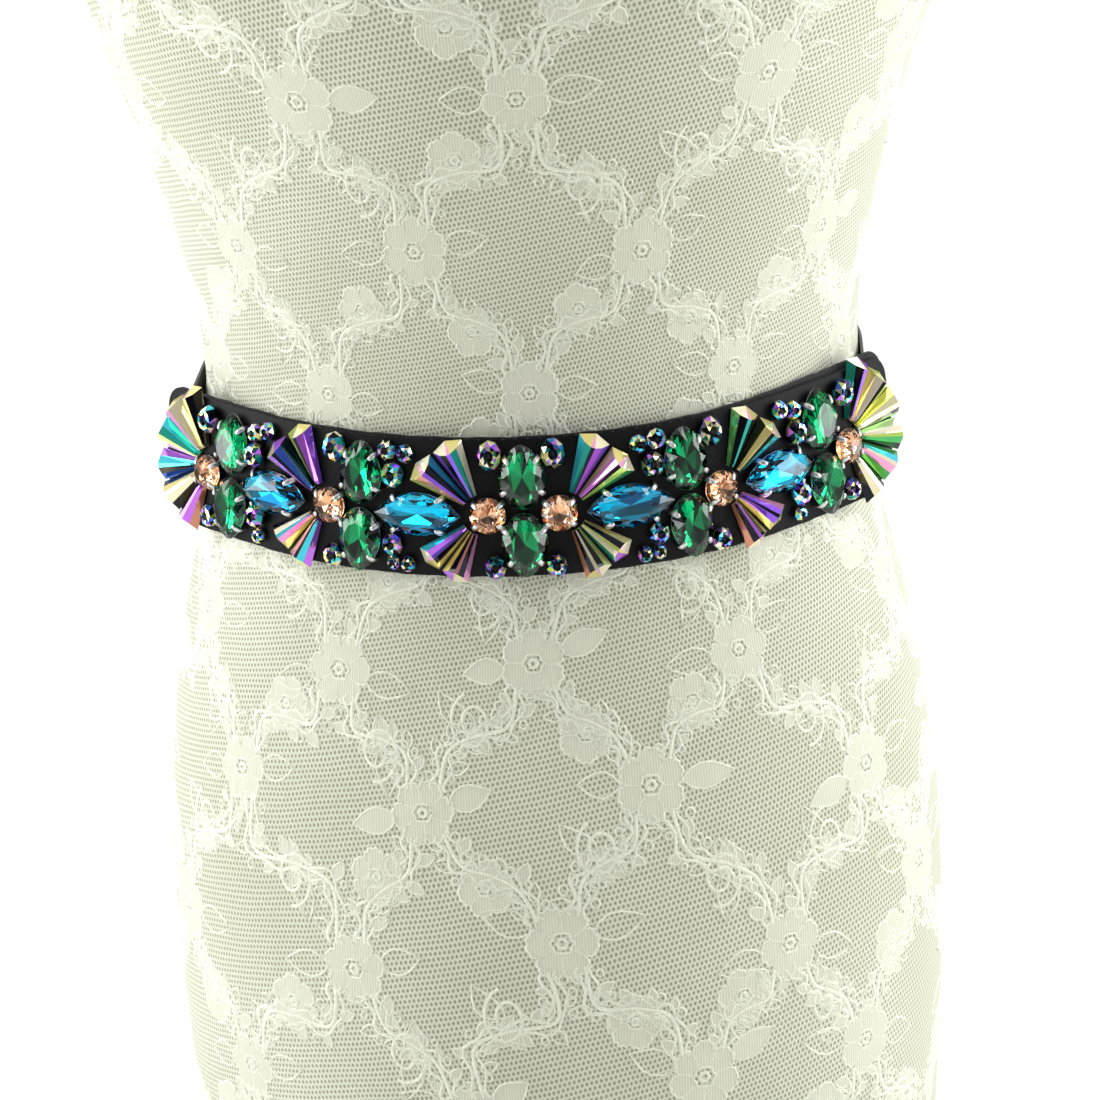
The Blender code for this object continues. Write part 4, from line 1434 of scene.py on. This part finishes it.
def root_reach(centre, turn, least):
    """How far from its centre a fan starts in one direction, clear of the round stone it opens from."""
    toward = centre[0] * math.cos(turn) + centre[1] * math.sin(turn)
    offset = centre[0] ** 2 + centre[1] ** 2
    return max(math.sqrt(toward**2 - offset + CRYSTAL_CLEAR**2) - toward, least)


def fan(node, place, centre, first, least, reach, share, look):
    """A fan of crystals, each long facet in its own coating colour, some painted near black as a dark
    reflection and some near white as a painted highlight; the cut ends pale.
    """
    origin, along, up, out = belt_frame(place)
    origin = origin + along * centre[0] + up * centre[1]
    gather = Gather()
    rng = random.Random(node)
    for i, names in enumerate(FAN_COLOURS[node].split(" / ")):
        turn = first + CRYSTAL_SPREAD * (i + 0.5)
        facets = [tint_of(name) + rng.uniform(-TINT_JITTER, TINT_JITTER) for name in names.split()]
        ends = [tint_of(name) for name in rng.choice(END_COLOURS)]
        roll = math.radians(rng.uniform(3.0, 6.0)) * (1 if i % 2 else -1)
        length = reach - rng.uniform(0.0, LENGTH_JITTER)
        sides = (turn - CRYSTAL_SPREAD / 2, turn + CRYSTAL_SPREAD / 2)
        root = max(root_reach(centre, edge, least) for edge in sides)
        crystal(gather, origin, (along, up, out), turn, roll, root, length, share, facets, ends)
    piece = new_piece(
        node + "_crystals", gather.points, gather.faces, [look],
        smooth=False, tints=gather.tints,
    )
    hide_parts(node)


def all_fans(look):
    """Pairs of crystals above and below the round stones, and an end fan round each outermost one."""
    for side, mark in ((-1, "left"), (1, "right")):
        for number in (1, 2):
            place = side * ((number - 1) * REPEAT + ROUND_PLACE)
            sweep = 2 * CRYSTAL_SPREAD
            upper = FAN_START if side > 0 else math.pi - FAN_START - sweep
            lower = -FAN_START - sweep if side > 0 else math.pi + FAN_START
            centre = (side * FAN_SHIFT, 0.0)
            for level, first, reach in (
                ("upper", upper, CRYSTAL_REACH_UPPER),
                ("lower", lower, CRYSTAL_REACH_LOWER),
            ):
                node = f"fan_{mark}_{number}_{level}"
                fan(node, place, centre, first, CRYSTAL_ROOT, reach, PAIR_SHARE, look)
        first = (0.0 if side > 0 else math.pi) - 3 * CRYSTAL_SPREAD
        place = side * (2 * REPEAT + ROUND_PLACE)
        centre = (0.0, END_FAN_RISE)
        fan(f"end_fan_{mark}", place, centre, first, CRYSTAL_ROOT_END, CRYSTAL_REACH_END, END_SHARE, look)


# Beads

BEAD_SEAT = 0.0002
BEAD_SIDES = 9
BEAD_HEIGHT = 0.62
# A bead from the band up and down into its hole: share of the radius, share of the height, turn in facets
BEAD_RINGS = (
    (0.70, 0.04, 0.0), (1.00, 0.30, 0.5), (0.98, 0.52, 0.5), (0.70, 0.88, 0.0), (0.40, 0.92, 0.5),
    (0.30, 0.55, 0.0),
)
# The knot of thread in the hole, in the same shares
KNOT_SIDES = 8
KNOT_RINGS = ((0.34, 0.50), (0.30, 0.66), (0.16, 0.76))
# The beads' facet colours on the coating ramp, with painted dark reflections and painted highlights among
# them
BEAD_COLOURS = "gold ink pearl ink violet teal lime blue ink cyan pearl ink orchid".split()


def bead(gather, place, rise, width, tall, rng):
    """A faceted bead sewn flat, its hole outwards: two rows of facets and a dark knot in the hole."""
    origin, along, up, out = belt_frame(place)
    origin = origin + up * rise
    radius, height = width / 2, width * BEAD_HEIGHT
    first_turn = rng.uniform(0, 1)
    points = []
    for scale, level, shift in BEAD_RINGS:
        for turn in whole_turn(BEAD_SIDES, 2 * math.pi * shift / BEAD_SIDES + first_turn):
            flat = along * math.cos(turn) + up * (math.sin(turn) * tall)
            points.append(origin + flat * (radius * scale) + out * (BEAD_SEAT + height * level))
    faces = []
    for row in range(len(BEAD_RINGS) - 1):
        low, high = row * BEAD_SIDES, (row + 1) * BEAD_SIDES
        shift, next_shift = BEAD_RINGS[row][2], BEAD_RINGS[row + 1][2]
        for i in range(BEAD_SIDES):
            j = (i + 1) % BEAD_SIDES
            if shift == next_shift:
                faces.append((low + i, low + j, high + j, high + i))
            elif shift > next_shift:
                faces.append((low + i, high + j, high + i))
                faces.append((low + i, low + j, high + j))
            else:
                faces.append((low + i, low + j, high + i))
                faces.append((low + j, high + j, high + i))
    faces.append(tuple(reversed(range(BEAD_SIDES))))
    gather.add(points, faces, tints=[tint_of(rng.choice(BEAD_COLOURS)) for _ in faces])
    knot = []
    for scale, level in KNOT_RINGS:
        for turn in whole_turn(KNOT_SIDES):
            flat = along * math.cos(turn) + up * math.sin(turn)
            knot.append(origin + flat * (radius * scale) + out * (BEAD_SEAT + height * level))
    gather.add(knot, loft_faces(len(KNOT_RINGS), KNOT_SIDES), mark=1)


def all_beads(look, thread):
    gather = Gather()
    rng = random.Random(5)
    for side in (-1, 1):
        for row in BEADS:
            bead(gather, side * row.place / 1000, row.rise / 1000, row.width / 1000, row.tall, rng)
    new_piece(
        "faceted_beads", gather.points, gather.faces, [look, thread],
        smooth=False, tints=gather.tints, marks=gather.marks,
    )


# Studio

FLOOR_HALF = 12.0
FLOOR_LEVEL = -0.0005
STUDIO_STRENGTH = 0.78

# Lights: where each is, what it points at, its width and height in metres and its power in watts
SoftBox = namedtuple("SoftBox", "name place aim width height power")
BELT_MIDDLE = (0, 0, 0.33)
SOFT_BOXES = (
    SoftBox("left_box", (-1.3, -0.15, 0.75), BELT_MIDDLE, 0.7, 1.3, 17),
    SoftBox("right_box", (1.3, -0.15, 0.75), BELT_MIDDLE, 0.7, 1.3, 16.5),
    SoftBox("left_strip", (-0.75, -1.15, 0.8), BELT_MIDDLE, 0.12, 1.0, 2.2),
    SoftBox("right_strip", (0.85, -1.10, 0.8), BELT_MIDDLE, 0.12, 1.0, 2.2),
    SoftBox("top_box", (0.1, -0.25, 1.9), BELT_MIDDLE, 1.2, 0.4, 3.5),
    SoftBox("floor_wash", (0.0, 3.6, 3.2), (0, 3.6, 0), 6.0, 4.0, 155),
)

# Camera: a long lens a little above the belt, turned slightly about its axis
CAMERA_TARGET = Vector((0.0033, BELT_FRONT, BELT_HEIGHT - 0.0149))
CAMERA_RISE = math.radians(17.0)
CAMERA_ROLL = math.radians(-2.95)
CAMERA_DISTANCE = 1.19
CAMERA_LENS = 102.14
CAMERA_SENSOR = 36.0


def studio_floor():
    """A plain pale floor, painted smooth."""
    look, shader = new_look("matt_floor_paint", Roughness=0.9, Specular_IOR_Level=0.1)
    spot = add_node(look, "TexCoord").outputs["Object"]
    patches = add_node(look, "TexNoise", {"Vector": spot, "Scale": 3.0})
    tone = add_node(look, "ValToRGB", {"Fac": patches}, stops=((0.3, "E2E2E0"), (0.7, "E8E8E6")))
    wire(look, shader, Base_Color=tone)
    mesh = bpy.data.meshes.new("studio_floor")
    corners = [(x * FLOOR_HALF, y * FLOOR_HALF, 0) for x, y in ((-1, -1), (1, -1), (1, 1), (-1, 1))]
    mesh.from_pydata(corners, [], [(0, 1, 2, 3)])
    mesh.materials.append(look)
    floor = bpy.data.objects.new("studio_floor", mesh)
    floor.location.z = FLOOR_LEVEL
    bpy.context.scene.collection.objects.link(floor)


def studio_world():
    """An even white studio that is darker on the side where the photographer stands."""
    world = bpy.data.worlds.new("soft_studio")
    world.use_nodes = True
    bpy.context.scene.world = world
    back = world.node_tree.nodes["Background"]
    way = add_node(world, "TexCoord").outputs["Generated"]
    ahead = add_node(world, "SeparateXYZ", {"Vector": way}).outputs["Y"]
    front = add_node(world, "MapRange", {"Value": ahead, "From Min": -1.0, "From Max": 1.0})
    walls = ((0.0, "5C5C5E"), (0.18, "6C6C6E"), (0.33, "DCDCDC"), (0.48, "FFFFFF"))
    wire(world, back, Color=add_node(world, "ValToRGB", {"Fac": front}, stops=walls))
    back.inputs["Strength"].default_value = STUDIO_STRENGTH


def studio_lights():
    """Big soft boxes at both sides and above, a strip beside the photographer on each side, and a wash on
    the floor behind the form."""
    for box in SOFT_BOXES:
        light = bpy.data.lights.new(box.name, "AREA")
        light.shape = "RECTANGLE"
        light.size, light.size_y = box.width, box.height
        light.energy = box.power
        lamp = bpy.data.objects.new(box.name, light)
        lamp.location = box.place
        lamp.rotation_euler = (Vector(box.aim) - Vector(box.place)).to_track_quat("-Z", "Y").to_euler()
        bpy.context.scene.collection.objects.link(lamp)


def set_camera():
    """Frames the waist as the photograph does, looking down on the belt."""
    back = Vector((0, -math.cos(CAMERA_RISE), math.sin(CAMERA_RISE)))
    level = Vector((1, 0, 0))
    upright = back.cross(level)
    right = level * math.cos(CAMERA_ROLL) + upright * math.sin(CAMERA_ROLL)
    up = upright * math.cos(CAMERA_ROLL) - level * math.sin(CAMERA_ROLL)
    data = bpy.data.cameras.new("camera")
    data.lens = CAMERA_LENS
    data.sensor_width = CAMERA_SENSOR
    camera = bpy.data.objects.new("camera", data)
    turn = Matrix((right, up, back)).transposed()
    camera.matrix_world = Matrix.Translation(CAMERA_TARGET + back * CAMERA_DISTANCE) @ turn.to_4x4()
    bpy.context.scene.collection.objects.link(camera)
    bpy.context.scene.camera = camera


def main():
    set_camera()
    studio_world()
    studio_lights()
    studio_floor()
    bpy.context.scene.view_settings.view_transform = "Standard"

    net, clothwork, cord = lace_net_look(), lace_clothwork_look(), lace_cord_look()
    body = form_body(jersey_look())
    body.data.set_sharp_from_angle(angle=math.radians(40))
    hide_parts("form_torso")
    cover = lace_ground(net)
    trimmings = lace_motifs(clothwork, cord) + [lace_hems(cord)]

    satin, felt, elastic, thread = satin_look(), felt_look(), elastic_look(), thread_look()
    band = band_layer(
        "satin_band", satin, "belt_band", 0.0, BAND_THICKNESS, lambda place: 0.0, BAND_SWAY
    )
    backing = band_layer(
        "felt_backing", felt, "belt_backing", BACKING_OUTER, BACKING_THICKNESS, backing_rise,
        BACKING_SWAY,
    )
    for name, side, gap in (("strap_left", -1, 0.0), ("strap_right", 1, STRAP_THICKNESS + LAYER_GAP)):
        piece, run = strap(name, side, elastic, gap)
    strap_stitches(thread)
    edge_stitches(thread)
    snap = silver_look("nickel_plated_snap", "A8A8AC", 0.22)
    for name in ("snap_1", "snap_2"):
        cap = bpy.data.objects[name]
        cap.data.materials.clear()
        cap.data.materials.append(snap)

    # Each glass gets a tint and a lighter colour for painted light streaks; each foil gets a colour for the
    # painted flash and one for the painted dark reflection
    looks = {
        "amber": glass_look("champagne_glass", "FAD0AC", "FFE0C8"),
        "amber_foil": foil_look("champagne_foil", "FFE0C4", "84502E"),
        "emerald": glass_look("emerald_glass_cut", "24B48C", "3CCCA4"),
        "emerald_foil": foil_look("emerald_foil", "20ECB4", "032A20"),
        "blue": glass_look("blue_zircon_glass", "44BCE4", "5CDCF4"),
        "blue_foil": foil_look("blue_foil", "44ECFC", "07426E"),
        "silver": silver_look("silver_plated_claws", "D8D8DA", 0.32),
    }
    all_stones(looks)
    all_fans(coated_look("oxide_coated_crystal", 0.55, 0.06))
    all_beads(coated_look("oxide_coated_beads", 0.80, 0.10), thread)


main()
